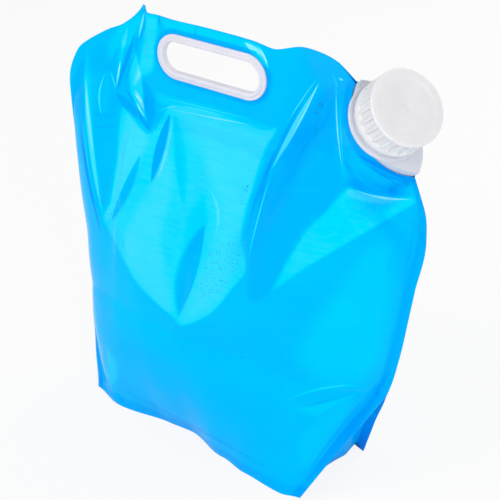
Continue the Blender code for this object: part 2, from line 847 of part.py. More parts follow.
def grip_cutters():
    """One mesh that holds the wedge cutters of every grip recess round the skirt."""
    half = math.pi * grip_width_share / GRIP_COUNT
    deep = CAP_RADIUS - GRIP_DEPTH
    out = CAP_RADIUS + CUT_OVERRUN
    grip_low = cap_low + GRIP_LOW
    grip_high = cap_high - GRIP_RIM
    points = []
    faces = []
    for index in range(GRIP_COUNT):
        angle = 2 * math.pi * index / GRIP_COUNT
        first = len(points)
        for radius, low in ((deep, grip_low + GRIP_RAMP), (out, grip_low)):
            for turn, height in ((-half, low), (half, low), (half, grip_high), (-half, grip_high)):
                place = angle + turn
                points.append((radius * math.cos(place), radius * math.sin(place), height))
        faces.append(tuple(first + corner for corner in (3, 2, 1, 0)))
        faces.append(tuple(first + 4 + corner for corner in range(4)))
        for corner in range(4):
            after = (corner + 1) % 4
            faces.append((first + corner, first + after, first + 4 + after, first + 4 + corner))
    made = bpy.data.objects.new("grip_cutters", mesh_of("grip_cutters", points, faces))
    bpy.context.scene.collection.objects.link(made)
    return made


edge_bow_share = 0.3


def make_cap(finish, parent):
    """The cap: a ribbed skirt with a thread inside, and a dished face with a dimple."""
    dish = cap_high - DISH_DEPTH
    profile = [
        (0, dish - DIMPLE_DEPTH),
        (DIMPLE_RADIUS / 2, dish - DIMPLE_DEPTH),
        (DIMPLE_RADIUS, dish),
        (DISH_RADIUS - DISH_DEPTH * 2, dish),
        (DISH_RADIUS, cap_high),
        (CAP_RADIUS - CAP_EDGE, cap_high),
        (CAP_RADIUS - CAP_EDGE * edge_bow_share, cap_high - CAP_EDGE * edge_bow_share),
        (CAP_RADIUS, cap_high - CAP_EDGE),
        (CAP_RADIUS, cap_low + CAP_EDGE / 4),
        (CAP_RADIUS - CAP_EDGE / 4, cap_low),
        (cap_bore, cap_low),
        (cap_bore, cap_ceiling),
        (0, cap_ceiling),
    ]
    points, faces = turned(profile)
    made = finish_object("cap", mesh_of("cap", points, faces), finish, parent=parent)
    thread_start_turn = cap_thread_start_share
    ridge = thread_ridge(
        "cap_thread", cap_bore, True, thread_start_turn, cap_thread_turns, THREAD_PITCH / 2,
    )
    for tool, operation in ((ridge, "UNION"), (grip_cutters(), "DIFFERENCE")):
        tool.parent = parent
        boolean(made, tool, operation)
    return made


def make_liner(finish, parent):
    """The seal disc inside the cap, with a raised ring where the neck's rim presses."""
    radius = NECK_RADIUS + THREAD_DEPTH / 2
    inner = BORE_RADIUS - THREAD_DEPTH
    top = liner_low + LINER_THICKNESS
    profile = [
        (0, liner_low + LINER_THICKNESS / 3),
        (inner, liner_low + LINER_THICKNESS / 3),
        (inner + LINER_THICKNESS / 3, liner_low),
        (radius, liner_low),
        (radius, top),
        (0, top),
    ]
    points, faces = turned(profile)
    return finish_object("cap_liner", mesh_of("cap_liner", points, faces), finish, parent=parent)


# Put the carrier together

hand_hole_cutter = make_hand_hole_cutter()
film_finish = material("blue_film", FILM_BLUE, 0.12, 0.3)
panel("front_film", True, film_finish)
panel("back_film", False, material("blue_film_back", FILM_BLUE, 0.12, 0.3))
make_base(material("blue_film_base", FILM_BLUE, 0.15, 0.3))
make_front_ring(material("ring_plastic_front", RING_WHITE, 0.35))
make_back_ring(material("ring_plastic_back", RING_WHITE, 0.35))
make_spout(material("spout_plastic", CLEAR_WHITE, 0.30))

cap_axis = bpy.data.objects.new("cap_axis", None)
bpy.context.scene.collection.objects.link(cap_axis)
cap_axis.matrix_world = neck_frame
make_cap(material("cap_plastic", CAP_WHITE, 0.38), cap_axis)
make_liner(material("liner_foam", LINER_WHITE, 0.6), cap_axis)
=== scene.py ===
# %% [markdown]
# # A collapsible water carrier
#
# The object is a pouch of glossy blue film that stands on a folded base. It has a hand hole with a white
# snap ring, and a screw spout in its cut-off top corner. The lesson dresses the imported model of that
# pouch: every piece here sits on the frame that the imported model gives, and rides on one of its bodies,
# so that the cap still unscrews.

# %% Load the frame
import math

import bmesh
import bpy
import numpy as np
from mathutils import Matrix, Vector


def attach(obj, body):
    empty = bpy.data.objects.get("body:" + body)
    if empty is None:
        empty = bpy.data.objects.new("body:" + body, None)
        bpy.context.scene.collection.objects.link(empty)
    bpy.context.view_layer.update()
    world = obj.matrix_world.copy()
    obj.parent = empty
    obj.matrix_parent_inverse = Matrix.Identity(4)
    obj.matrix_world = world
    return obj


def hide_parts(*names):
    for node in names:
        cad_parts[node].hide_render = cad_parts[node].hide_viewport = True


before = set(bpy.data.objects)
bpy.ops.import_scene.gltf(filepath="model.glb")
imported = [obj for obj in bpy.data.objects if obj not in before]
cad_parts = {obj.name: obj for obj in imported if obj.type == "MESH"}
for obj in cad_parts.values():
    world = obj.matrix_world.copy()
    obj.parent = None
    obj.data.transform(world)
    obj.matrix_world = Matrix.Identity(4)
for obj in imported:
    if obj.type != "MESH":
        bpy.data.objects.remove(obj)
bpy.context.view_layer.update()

# %% [markdown]
# ## The camera
#
# The photograph looks down on the pouch from the front right. A long lens keeps the shape from spreading,
# as in a product photograph. The camera is placed from an angle, a height above the horizon and a
# distance, and the same numbers give a function that says where a point of the model falls in the
# picture. Folds can then be placed where they show.

# %% Camera
PICTURE_PX = 500
FOCAL_PX = 1150
SENSOR_MM = 36.0
AZIMUTH = math.radians(36.0)
ELEVATION = math.radians(29.0)
CAMERA_DISTANCE = 0.870
AIM = Vector((0.012, 0.0, 0.172))

to_camera = Vector((
    math.sin(AZIMUTH) * math.cos(ELEVATION),
    -math.cos(AZIMUTH) * math.cos(ELEVATION),
    math.sin(ELEVATION),
))
camera_right = Vector((math.cos(AZIMUTH), math.sin(AZIMUTH), 0.0))
camera_up = to_camera.cross(camera_right)
camera_place = AIM + to_camera * CAMERA_DISTANCE


def linked_object(name, data):
    """A new object in the scene."""
    made = bpy.data.objects.new(name, data)
    bpy.context.scene.collection.objects.link(made)
    return made


def look_along(piece, place, direction):
    """Put a camera or a lamp at a place, facing a direction."""
    piece.location = place
    piece.rotation_mode = "QUATERNION"
    piece.rotation_quaternion = direction.to_track_quat("-Z", "Y")


def picture_place(points):
    """Where points of the model fall in the picture, in pixels from its top left corner."""
    offset = np.asarray(points) - np.array(camera_place)
    depth = -(offset @ np.array(to_camera))
    across = PICTURE_PX / 2 + FOCAL_PX * (offset @ np.array(camera_right)) / depth
    down = PICTURE_PX / 2 - FOCAL_PX * (offset @ np.array(camera_up)) / depth
    return across, down


camera_data = bpy.data.cameras.new("camera")
camera_data.sensor_width = SENSOR_MM
camera_data.lens = SENSOR_MM * FOCAL_PX / PICTURE_PX
camera = linked_object("camera", camera_data)
look_along(camera, camera_place, -to_camera)
bpy.context.scene.camera = camera
print("camera at", [round(v, 3) for v in camera_place], "lens", round(camera_data.lens, 1))

# %% [markdown]
# ## Helpers for node trees
#
# The white ground, the materials and the repeated pieces are all made by node trees. One helper adds a
# node and fills its inputs, each with a plain value or with a link from an earlier node, so that a tree
# can be written as one reads it.

# %% Node helpers


def fill(tree, node, inputs):
    """Fill a node's inputs, each with a plain value or with a link from a socket."""
    for name, value in inputs.items():
        if isinstance(value, bpy.types.NodeSocket):
            tree.links.new(value, node.inputs[name])
        else:
            node.inputs[name].default_value = value


def add_node(tree, kind, inputs=None, **values):
    """A node with its properties set by name and its inputs filled."""
    made = tree.nodes.new(kind)
    for name, value in values.items():
        setattr(made, name, value)
    fill(tree, made, inputs or {})
    return made


def math_node(tree, operation, *values, clamp=False):
    """The result of one math node, from sockets and plain numbers."""
    inputs = dict(enumerate(values))
    return add_node(tree, "ShaderNodeMath", inputs, operation=operation, use_clamp=clamp).outputs[0]


def map_range(tree, value, target, source=(0.0, 1.0)):
    """A value carried from one span of numbers to another, and held at its ends."""
    ends = dict(zip(("From Min", "From Max", "To Min", "To Max"), (*source, *target)))
    inputs = {"Value": value, **ends}
    return add_node(tree, "ShaderNodeMapRange", inputs).outputs["Result"]


def new_group(name, kind, inputs, outputs):
    """An empty group, its inputs' sockets and its output node. An input may have a default after its kind."""
    group = bpy.data.node_groups.new(name, kind)
    for label, socket_kind, *default in inputs:
        socket = group.interface.new_socket(label, in_out="INPUT", socket_type=f"NodeSocket{socket_kind}")
        if default:
            socket.default_value = default[0]
    for label, socket_kind in outputs:
        group.interface.new_socket(label, in_out="OUTPUT", socket_type=f"NodeSocket{socket_kind}")
    return group, group.nodes.new("NodeGroupInput").outputs, group.nodes.new("NodeGroupOutput")


def seen_directly(tree):
    """1 for rays from the camera, also those that have passed through a clear piece, and 0 for the others."""
    rays = add_node(tree, "ShaderNodeLightPath").outputs
    return math_node(tree, "ADD", rays["Is Camera Ray"], rays["Is Transmission Ray"], clamp=True)


# %% [markdown]
# ## The stage
#
# A product cut-out has a white ground with almost no shadow. White paint alone would need so much light
# that the pouch burned out. So the floor is two materials in one: to the lamps it is a pale matt sheet
# that catches a shadow, and to the camera it is mostly a plain white that gives its own light. The world
# does the same.

# %% Stage and lamps
bpy.context.scene.view_settings.view_transform = "Standard"
PAPER_WHITE = 0.975
PAPER_COLOUR = (0.90, 0.90, 0.90, 1.0)
WORLD_LIGHT = 0.60
WORLD_COLOUR = (1.0, 1.0, 1.0, 1.0)
FLOOR_SIZE = 12.0
FLOOR_GRID = 6
SHADOW_SHARE = 0.10
LAMP_AIM = Vector((0.0, 0.0, 0.17))

# name, place, width and height, and watts
SOFTBOXES = (
    ("key_softbox", (-0.75, -1.15, 1.15), (0.9, 0.9), 12.0),
    ("fill_softbox", (1.25, -0.75, 0.75), (0.7, 1.0), 9.0),
    ("back_softbox", (0.3, 1.3, 1.0), (1.0, 0.7), 8.0),
)

world = bpy.data.worlds.new("studio")
bpy.context.scene.world = world
world.use_nodes = True
tree = world.node_tree
tree.nodes.clear()
light = map_range(tree, seen_directly(tree), (WORLD_LIGHT, PAPER_WHITE))
sky = add_node(tree, "ShaderNodeBackground", {"Color": WORLD_COLOUR, "Strength": light})
add_node(tree, "ShaderNodeOutputWorld", {"Surface": sky.outputs[0]})


def floor_material():
    """Matt white paper for the lamps, and mostly plain white for the camera."""
    made = bpy.data.materials.new("studio_paper")
    made.use_nodes = True
    tree = made.node_tree
    tree.nodes.clear()
    paper = add_node(tree, "ShaderNodeBsdfDiffuse", {"Color": PAPER_COLOUR})
    glow = add_node(tree, "ShaderNodeEmission", {"Strength": PAPER_WHITE})
    share = math_node(tree, "MULTIPLY", seen_directly(tree), 1.0 - SHADOW_SHARE)
    mix = add_node(tree, "ShaderNodeMixShader", {"Fac": share, 1: paper.outputs[0], 2: glow.outputs[0]})
    add_node(tree, "ShaderNodeOutputMaterial", {"Surface": mix.outputs[0]})
    return made


def softbox(name, place, size, watts):
    """A square area lamp that faces the middle of the pouch."""
    data = bpy.data.lights.new(name, "AREA")
    data.shape = "RECTANGLE"
    data.size, data.size_y = size
    data.energy = watts
    look_along(linked_object(name, data), place, LAMP_AIM - Vector(place))


bpy.ops.mesh.primitive_grid_add(x_subdivisions=FLOOR_GRID, y_subdivisions=FLOOR_GRID, size=FLOOR_SIZE)
floor = bpy.context.object
floor.name = "studio_floor"
floor.data.materials.append(floor_material())
for row in SOFTBOXES:
    softbox(*row)
print("floor and", len(SOFTBOXES), "lamps")

# %% [markdown]
# ## The sizes of the pouch
#
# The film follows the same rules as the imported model: an outline, a surface where the two panels meet,
# and the distance that each panel stands off it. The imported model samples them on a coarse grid. Here the
# same rules are sampled every millimetre and a half on the front and a little wider on the back, and the
# folds that the coarse grid can't hold are added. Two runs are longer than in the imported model: the film
# comes down more slowly to the spout's weld and to the header's seal.

# %% Sizes, in metres
BAG_WIDTH = 0.306
BAG_HEIGHT = 0.338
FILM = 0.0003
SEAL_GAP = 0.0003
SEAL_STRIP = 0.010
FRONT_DEPTH = 0.056
BACK_DEPTH = 0.047
SPLIT_OPENING = 0.0010
BASE_SAG_RUN = 0.014
BASE_TUCK = 0.006
LEG_SPREAD = 0.005
WING_CURL = 0.024
PEAK_CURL = 0.005
HEADER_CURL = 0.007
NECK_SHIFT = 0.0045
BOAT_LENGTH = 0.071
BOAT_THICKNESS = 0.040
BOAT_GAP = 0.0005
SEAM_OVERRUN = 0.0008
WELD_HEIGHT = 0.012
HOLD_RUN = 0.014
BLEND_RUN = 0.032
HOLE_LENGTH = 0.0865
HOLE_HEIGHT = 0.0232
RING_FACE = 0.0056
RING_X = -0.0218
RING_Z = 0.3107
RING_TILT = math.radians(-1.1)
RING_HOLD_RUN = 0.010
FIT_GAP = 0.0003
FOLD_DEPTH = 0.006
FOLD_REACH = 0.020
print("the hand hole is", HOLE_LENGTH, "by", HOLE_HEIGHT)

# %% Shares of the width and the height
SPLIT_SHARE = 0.348
SEAM_START_SHARE = 0.72
TOP_CLOSE = 0.045
SEAL_EASE = 0.075
SIDE_ROUNDNESS = 0.7
TOP_ROUNDNESS = 0.8
# the header's three bends: where one is, how far it reaches, and the height where it starts
WING_AT, WING_REACH, WING_START = -0.285, 0.19, 0.27
PEAK_AT, PEAK_REACH, PEAK_START = -0.292, 0.036, 0.86
CURL_AT, CURL_REACH, CURL_START = 0.215, 0.115, 0.66

# the edges of a panel laid flat, in shares of its width and height
LEFT_EDGE = ((-0.435, 0.0), (-0.476, 0.13), (-0.511, 0.27), (-0.504, 0.39), (-0.494, 0.58), (-0.476, 0.775))
RIGHT_EDGE = (
    (0.314, 0.0), (0.376, 0.13), (0.445, 0.268), (0.471, 0.37), (0.487, 0.475), (0.501, 0.576),
    (0.508, 0.66), (0.510, 0.72), (0.496, 0.770),
)
TOP_EDGE = (
    (-0.476, 0.775), (-0.466, 0.845), (-0.437, 0.905), (-0.412, 0.929), (-0.366, 0.956), (-0.338, 0.967),
    (-0.319, 0.979), (-0.3065, 0.991), (-0.298, 1.0015), (-0.283, 1.0163), (-0.2705, 1.0045),
    (-0.232, 1.004), (-0.178, 1.001), (-0.089, 1.001), (0.026, 0.998), (0.070, 0.994), (0.103, 0.988),
    (0.128, 0.992), (0.163, 1.0), (0.200, 1.004), (0.237, 1.004), (0.265, 1.001), (0.290, 0.993),
)
# how far a foot stands off the middle, in shares of the depth, at places across the panel
FRONT_FOOT = (
    (0.0, 0.46), (0.16, 0.64), (0.37, 0.53), (0.47, 0.50), (0.65, 0.70), (0.77, 0.80), (0.93, 0.86),
    (1.0, 0.78),
)
BACK_FOOT = ((0.0, 0.60), (0.25, 0.86), (0.5, 0.94), (0.75, 0.92), (0.93, 0.83), (1.0, 0.72))
# how high up the bulge ends under the header's seal, at places across the panel
SEAL_LINE = ((0.0, 0.93), (0.14, 0.93), (0.29, 0.80), (0.60, 0.80), (0.69, 0.93), (0.76, 1.06), (1.0, 1.06))
# the large folds: both ends in shares of the width and height, then the shares of the depth and the reach
BIG_FOLDS = (
    ((-0.33, 0.93), (-0.36, 0.62), -0.8, 0.7),
    ((0.20, 0.88), (0.02, 0.48), -1.0, 0.9),
    ((0.27, 0.86), (0.12, 0.50), 0.8, 0.9),
    ((0.44, 0.68), (0.02, 0.36), 0.8, 1.2),
    ((-0.06, 0.76), (-0.14, 0.50), -0.6, 0.8),
)
FOLD_RISE, FOLD_FALL = 4, 3
print("a pouch", BAG_WIDTH, "wide and", BAG_HEIGHT, "high with", len(BIG_FOLDS), "large folds")

# %% Spout directions
AXIS_RISE = math.radians(38.0)
AXIS_TOE = math.radians(25.0)
SEAM_CENTRE = Vector((0.124, -0.005, 0.300))
spout_axis = Vector((
    math.cos(AXIS_RISE) * math.cos(AXIS_TOE),
    -math.cos(AXIS_RISE) * math.sin(AXIS_TOE),
    math.sin(AXIS_RISE),
))
level_across = Vector((spout_axis.z, 0.0, -spout_axis.x)).normalized()
seam_axis = (level_across - level_across.dot(spout_axis) * spout_axis).normalized()
through_axis = spout_axis.cross(seam_axis).normalized()
boat_frame = Matrix((seam_axis, through_axis, spout_axis)).transposed().to_4x4()
boat_frame.translation = SEAM_CENTRE
neck_frame = boat_frame @ Matrix.Translation((-NECK_SHIFT, 0.0, 0.0))
seam_half = BOAT_LENGTH / 2 + SEAM_OVERRUN
seam_high = SEAM_CENTRE - seam_half * seam_axis
seam_low = SEAM_CENTRE + seam_half * seam_axis
print("spout axis", [round(v, 4) for v in spout_axis])

# %% [markdown]
# ## The film's rules
#
# All of these take whole arrays of points, so that fifty thousand of them are placed in a moment.

# %% Curves and steps
CURVE_STEPS = 16


def ease(value):
    """A smooth step from 0 at 0 to 1 at 1."""
    held = np.clip(value, 0.0, 1.0)
    return held * held * (3 - 2 * held)


def bell(value, place, reach):
    """1 at a place, falling smoothly to 0 at a reach from it."""
    away = np.clip(np.abs(value - place) / reach, 0.0, 1.0)
    return 0.5 + 0.5 * np.cos(np.pi * away)


def smooth_curve(points):
    """A function from shares of the length to points of the smooth curve through the given ones."""
    given = np.array(points, dtype=float)
    ends = np.vstack([2 * given[0] - given[1], given, 2 * given[-1] - given[-2]])
    dense = [given[0]]
    for index in range(1, len(ends) - 2):
        before, start, end, after = ends[index - 1:index + 3]
        for step in range(1, CURVE_STEPS + 1):
            share = step / CURVE_STEPS
            dense.append(0.5 * (
                2 * start
                + (end - before) * share
                + (2 * before - 5 * start + 4 * end - after) * share ** 2
                + (3 * start - before - 3 * end + after) * share ** 3
            ))
    dense = np.array(dense)
    reach = np.concatenate([[0.0], np.cumsum(np.linalg.norm(np.diff(dense, axis=0), axis=1))])
    reach /= reach[-1]
    return lambda share: np.stack([np.interp(share, reach, dense[:, axis]) for axis in range(2)], axis=-1)


def eased_table(rows, place):
    """The value at each place in a table of places and values, eased between its rows."""
    places, values = np.array(rows).T
    index = np.clip(np.searchsorted(places, place, side="right") - 1, 0, len(places) - 2)
    share = ease((place - places[index]) / (places[index + 1] - places[index]))
    return values[index] + (values[index + 1] - values[index]) * share


print("half way along, a step is at", float(ease(0.5)), "and a bell at", round(float(bell(0.5, 0.0, 1.0)), 3))

# %% The laid-out panel
scale = np.array([BAG_WIDTH, BAG_HEIGHT])
left_edge = smooth_curve(np.array(LEFT_EDGE) * scale)
right_edge = smooth_curve(np.vstack([np.array(RIGHT_EDGE) * scale, (seam_low.x, seam_low.z)]))
header_edge = smooth_curve(np.vstack([np.array(TOP_EDGE) * scale, (seam_high.x, seam_high.z)]))


def bottom_edge(share):
    """The straight foot of the panel."""
    first, last = left_edge(0.0), right_edge(0.0)
    return first + (last - first) * np.asarray(share)[..., None]


def top_edge(share):
    """The header from the left shoulder to the spout, then straight along the spout's seam."""
    header = header_edge(np.clip(share / SEAM_START_SHARE, 0.0, 1.0))
    run = np.clip((share - SEAM_START_SHARE) / (1.0 - SEAM_START_SHARE), 0.0, 1.0)[..., None]
    start, end = np.array([seam_high.x, seam_high.z]), np.array([seam_low.x, seam_low.z])
    return np.where((share <= SEAM_START_SHARE)[..., None], header, start + (end - start) * run)


def laid_out(s, t):
    """The panel's points at s across and t up, blended between its four edges."""
    low_left, low_right = bottom_edge(np.array(0.0)), bottom_edge(np.array(1.0))
    high_left, high_right = top_edge(np.array(0.0)), top_edge(np.array(1.0))
    a, b = s[..., None], t[..., None]
    low = (1 - a) * (1 - b) * low_left + a * (1 - b) * low_right
    corners = low + (1 - a) * b * high_left + a * b * high_right
    return (1 - b) * bottom_edge(s) + b * top_edge(s) + (1 - a) * left_edge(t) + a * right_edge(t) - corners


def spout_plane(x, z):
    """The flat surface through the spout's seam and axis."""
    return SEAM_CENTRE.y - (
        through_axis.x * (x - SEAM_CENTRE.x) + through_axis.z * (z - SEAM_CENTRE.z)
    ) / through_axis.y


def from_seam(x, z):
    """How far points lie along the seam, and how far in from it."""
    offset = np.stack([x, spout_plane(x, z), z], axis=-1) - np.array(SEAM_CENTRE)
    return offset @ np.array(seam_axis), -(offset @ np.array(spout_axis))


def ring_offset(x, z):
    """How far points lie outside the edge of the hand hole."""
    across, above = x - RING_X, z - RING_Z
    along = across * math.cos(RING_TILT) + above * math.sin(RING_TILT)
    beyond = np.maximum(np.abs(along) - (HOLE_LENGTH - HOLE_HEIGHT) / 2, 0.0)
    return np.hypot(beyond, above * math.cos(RING_TILT) - across * math.sin(RING_TILT)) - HOLE_HEIGHT / 2


def ring_hold(x, z):
    """1 under the ring, where both panels lie flat against each other, falling to 0 outside it."""
    return ease(1 - (ring_offset(x, z) - RING_FACE - FIT_GAP) / RING_HOLD_RUN)


def middle(x, z):
    """Where the two panels meet, as a distance in Y: flat round the hand hole, curled at the corners."""
    across, up = x / BAG_WIDTH, z / BAG_HEIGHT
    wing = ease((WING_AT - across) / WING_REACH) * ease((up - WING_START) / (1 - WING_START))
    peak = bell(across, PEAK_AT, PEAK_REACH) * ease((up - PEAK_START) / (1 - PEAK_START))
    curl = bell(across, CURL_AT, CURL_REACH) * ease((up - CURL_START) / (1 - CURL_START))
    free = -WING_CURL * wing + PEAK_CURL * peak + HEADER_CURL * curl
    _, inwards = from_seam(x, z)
    held = 1 - ease((inwards - WELD_HEIGHT - HOLD_RUN) / BLEND_RUN)
    return (1 - ring_hold(x, z)) * (held * spout_plane(x, z) + (1 - held) * free)


def middle_normal(x, z):
    """The direction from the front panel to the back one."""
    slope_x = (middle(x + FILM, z) - middle(x - FILM, z)) / (2 * FILM)
    slope_z = (middle(x, z + FILM) - middle(x, z - FILM)) / (2 * FILM)
    normal = np.stack([-slope_x, np.ones_like(x), -slope_z], axis=-1)
    return normal / np.linalg.norm(normal, axis=-1, keepdims=True)


print("the foot runs from", bottom_edge(0.0).round(4), "to", bottom_edge(1.0).round(4))

# %% How far a panel stands off
strip_across = SEAL_STRIP / BAG_WIDTH
strip_up = SEAL_STRIP / BAG_HEIGHT
lens_radius = ((BOAT_LENGTH / 2) ** 2 + (BOAT_THICKNESS / 2) ** 2) / BOAT_THICKNESS


def boat_half(along):
    """Half the boat's thickness at a distance along the seam."""
    held = np.minimum(np.abs(along), BOAT_LENGTH / 2)
    return np.sqrt(lens_radius ** 2 - held ** 2) - (lens_radius - BOAT_THICKNESS / 2)


def fullness(s, t):
    """The share of its depth that a panel bulges, above the split of the lower corners."""
    inner = np.clip((s - strip_across) / (1 - 2 * strip_across), 0.0, 1.0)
    sides = (4 * inner * (1 - inner)) ** SIDE_ROUNDNESS
    seal_line = eased_table(SEAL_LINE, s)
    up = np.clip((t - SPLIT_SHARE) / (seal_line - SPLIT_SHARE), 0.0, 1.0)
    return sides * (1 - up * up) ** TOP_ROUNDNESS * ease((1 - up) / SEAL_EASE)


def big_folds(x, z):
    """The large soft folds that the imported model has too."""
    total = np.zeros_like(x)
    for start, end, depth, reach in BIG_FOLDS:
        first = np.array(start) * scale
        run = np.array(end) * scale - first
        px, pz = x - first[0], z - first[1]
        share = (px * run[0] + pz * run[1]) / (run @ run)
        side = np.abs(px * run[1] - pz * run[0]) / np.linalg.norm(run)
        taper = ease(share * FOLD_RISE) * ease((1 - share) * FOLD_FALL)
        total += FOLD_DEPTH * depth * taper * np.exp(-(side / (FOLD_REACH * reach)) ** 2)
    return total


def weld_hold(x, z):
    """1 where the film is welded to the boat, falling to 0 away from it."""
    along, inwards = from_seam(x, z)
    hold = ease((WELD_HEIGHT + HOLD_RUN + BLEND_RUN - inwards) / BLEND_RUN)
    return hold * ease((seam_half + HOLD_RUN - np.abs(along)) / HOLD_RUN)


def stand_off(s, t, x, z, front):
    """The distance of a panel's inner face from the middle surface, less half the seal gap."""
    depth, foot_rows = (FRONT_DEPTH, FRONT_FOOT) if front else (BACK_DEPTH, BACK_FOOT)
    lift = np.clip(t / SPLIT_SHARE, 0.0, 1.0)
    legs = depth * eased_table(foot_rows, s) * (1 - lift)
    legs = legs + depth * fullness(s, np.full_like(t, SPLIT_SHARE)) * np.sin(np.pi / 2 * lift)
    bulge = np.where(t >= SPLIT_SHARE, depth * fullness(s, t), legs)
    if front:
        bulge = bulge + big_folds(x, z) * np.clip(bulge / FOLD_REACH, 0.0, 1.0)
    along, _ = from_seam(x, z)
    beyond = ease((np.abs(along) - seam_half) / HOLD_RUN)
    bulge = bulge * (1 - beyond * (1 - ease((1 - t) / TOP_CLOSE)))
    bulge = bulge + weld_hold(x, z) * (boat_half(along) + BOAT_GAP - bulge)
    bulge = bulge * (1 - ring_hold(x, z))
    in_strip = np.minimum(s, 1 - s) <= strip_across
    bulge = np.where(in_strip & (t > SPLIT_SHARE) & (np.abs(along) > seam_half), 0.0, bulge)
    split = SPLIT_OPENING * ease(1 - np.abs(t - SPLIT_SHARE) / strip_up)
    return np.maximum(np.maximum(bulge, 0.0), np.where(in_strip, split, 0.0))


def panel_surface(s, t, front, raised=0.0, shared=0.0):
    """A panel's inner face: its place, raised outwards by one amount and moved to the front by another."""
    place = laid_out(s, t)
    x, z = place[..., 0], place[..., 1]
    side = -1.0 if front else 1.0
    off = np.maximum(stand_off(s, t, x, z, front) + raised, 0.0) + SEAL_GAP / 2
    surface = np.stack([x, middle(x, z), z], axis=-1)
    surface = surface + (side * off - shared)[..., None] * middle_normal(x, z)
    spread = np.maximum(0.0, 1 - t / SPLIT_SHARE) * s
    surface[..., 0] += side * LEG_SPREAD * spread
    return surface


print("the boat is", round(2000 * float(boat_half(0.0)), 1), "mm thick at its middle")

# %% [markdown]
# ## Folds and creases
#
# A film doesn't wrinkle like cloth. It buckles into flat facets with sharp crests between them, and a few
# long folds run from the stiff ring and the stiff spout. Noise can't place those, so each crease is a
# stroke through the picture: a curve, a height, a reach to either side, and how sharp its crest is. The
# height is added to the panel.

# %% Strokes
STROKE_STEPS = 24
STROKE_TAPER = 0.25
STROKE_OVERRUN = 0.02
NARROW_SHARE = 0.35
PATCH_STEPS = 6
TINY = 1e-9


def to_segment(px, py, start, end):
    """A segment's run, the share of it at its point nearest to each place, and the steps from that point."""
    run = end - start
    share = np.clip(((px - start[0]) * run[0] + (py - start[1]) * run[1]) / max(run @ run, TINY), 0.0, 1.0)
    return run, share, px - start[0] - share * run[0], py - start[1] - share * run[1]


def from_stroke(px, py, points):
    """The signed distance to a curve in the picture, and the share of its length at the nearest point."""
    line = smooth_curve(points)(np.linspace(0.0, 1.0, STROKE_STEPS + 1))
    best = np.full(px.shape, np.inf)
    signed = np.zeros(px.shape)
    share = np.zeros(px.shape)
    for index, (start, end) in enumerate(zip(line, line[1:])):
        run, along, off_x, off_y = to_segment(px, py, start, end)
        distance = np.hypot(off_x, off_y)
        nearer = distance < best
        best = np.where(nearer, distance, best)
        turned = np.where(run[0] * off_y - run[1] * off_x >= 0, 1.0, -1.0)
        signed = np.where(nearer, turned * distance, signed)
        share = np.where(nearer, (index + along) / STROKE_STEPS, share)
    return signed, share


def crease(px, py, points, height, reach_left, reach_right, sharp):
    """The height of one crease at each point. Left and right are meant going along its stroke."""
    signed, share = from_stroke(px, py, points)
    taper = ease((share + STROKE_OVERRUN) / STROKE_TAPER) * ease((1 + STROKE_OVERRUN - share) / STROKE_TAPER)
    narrowed = NARROW_SHARE + (1 - NARROW_SHARE) * np.sqrt(np.clip(taper, 0.0, 1.0))
    reach = np.where(signed < 0, reach_left, reach_right) * narrowed
    return height * taper * np.exp(-(np.abs(signed) / reach) ** sharp)


def patch(px, py, corners, soft, rounded=True):
    """1 inside a closed outline in the picture and 0 outside, over a soft edge."""
    line = np.array(corners, dtype=float)
    if rounded:
        closed = np.vstack([line, line[:1]])
        line = smooth_curve(closed)(np.linspace(0.0, 1.0, PATCH_STEPS * len(line) + 1))[:-1]
    inside = np.zeros(px.shape, dtype=bool)
    nearest = np.full(px.shape, np.inf)
    for start, end in zip(line, np.roll(line, -1, axis=0)):
        run, _, off_x, off_y = to_segment(px, py, start, end)
        nearest = np.minimum(nearest, np.hypot(off_x, off_y))
        crosses = (start[1] > py) != (end[1] > py)
        inside ^= crosses & (px < start[0] + (py - start[1]) * run[0] / (run[1] if run[1] else TINY))
    return ease(0.5 + 0.5 * np.where(inside, nearest, -nearest) / soft)


print("a stroke is", STROKE_STEPS, "straight pieces")

# %% Creases
MM = 0.001

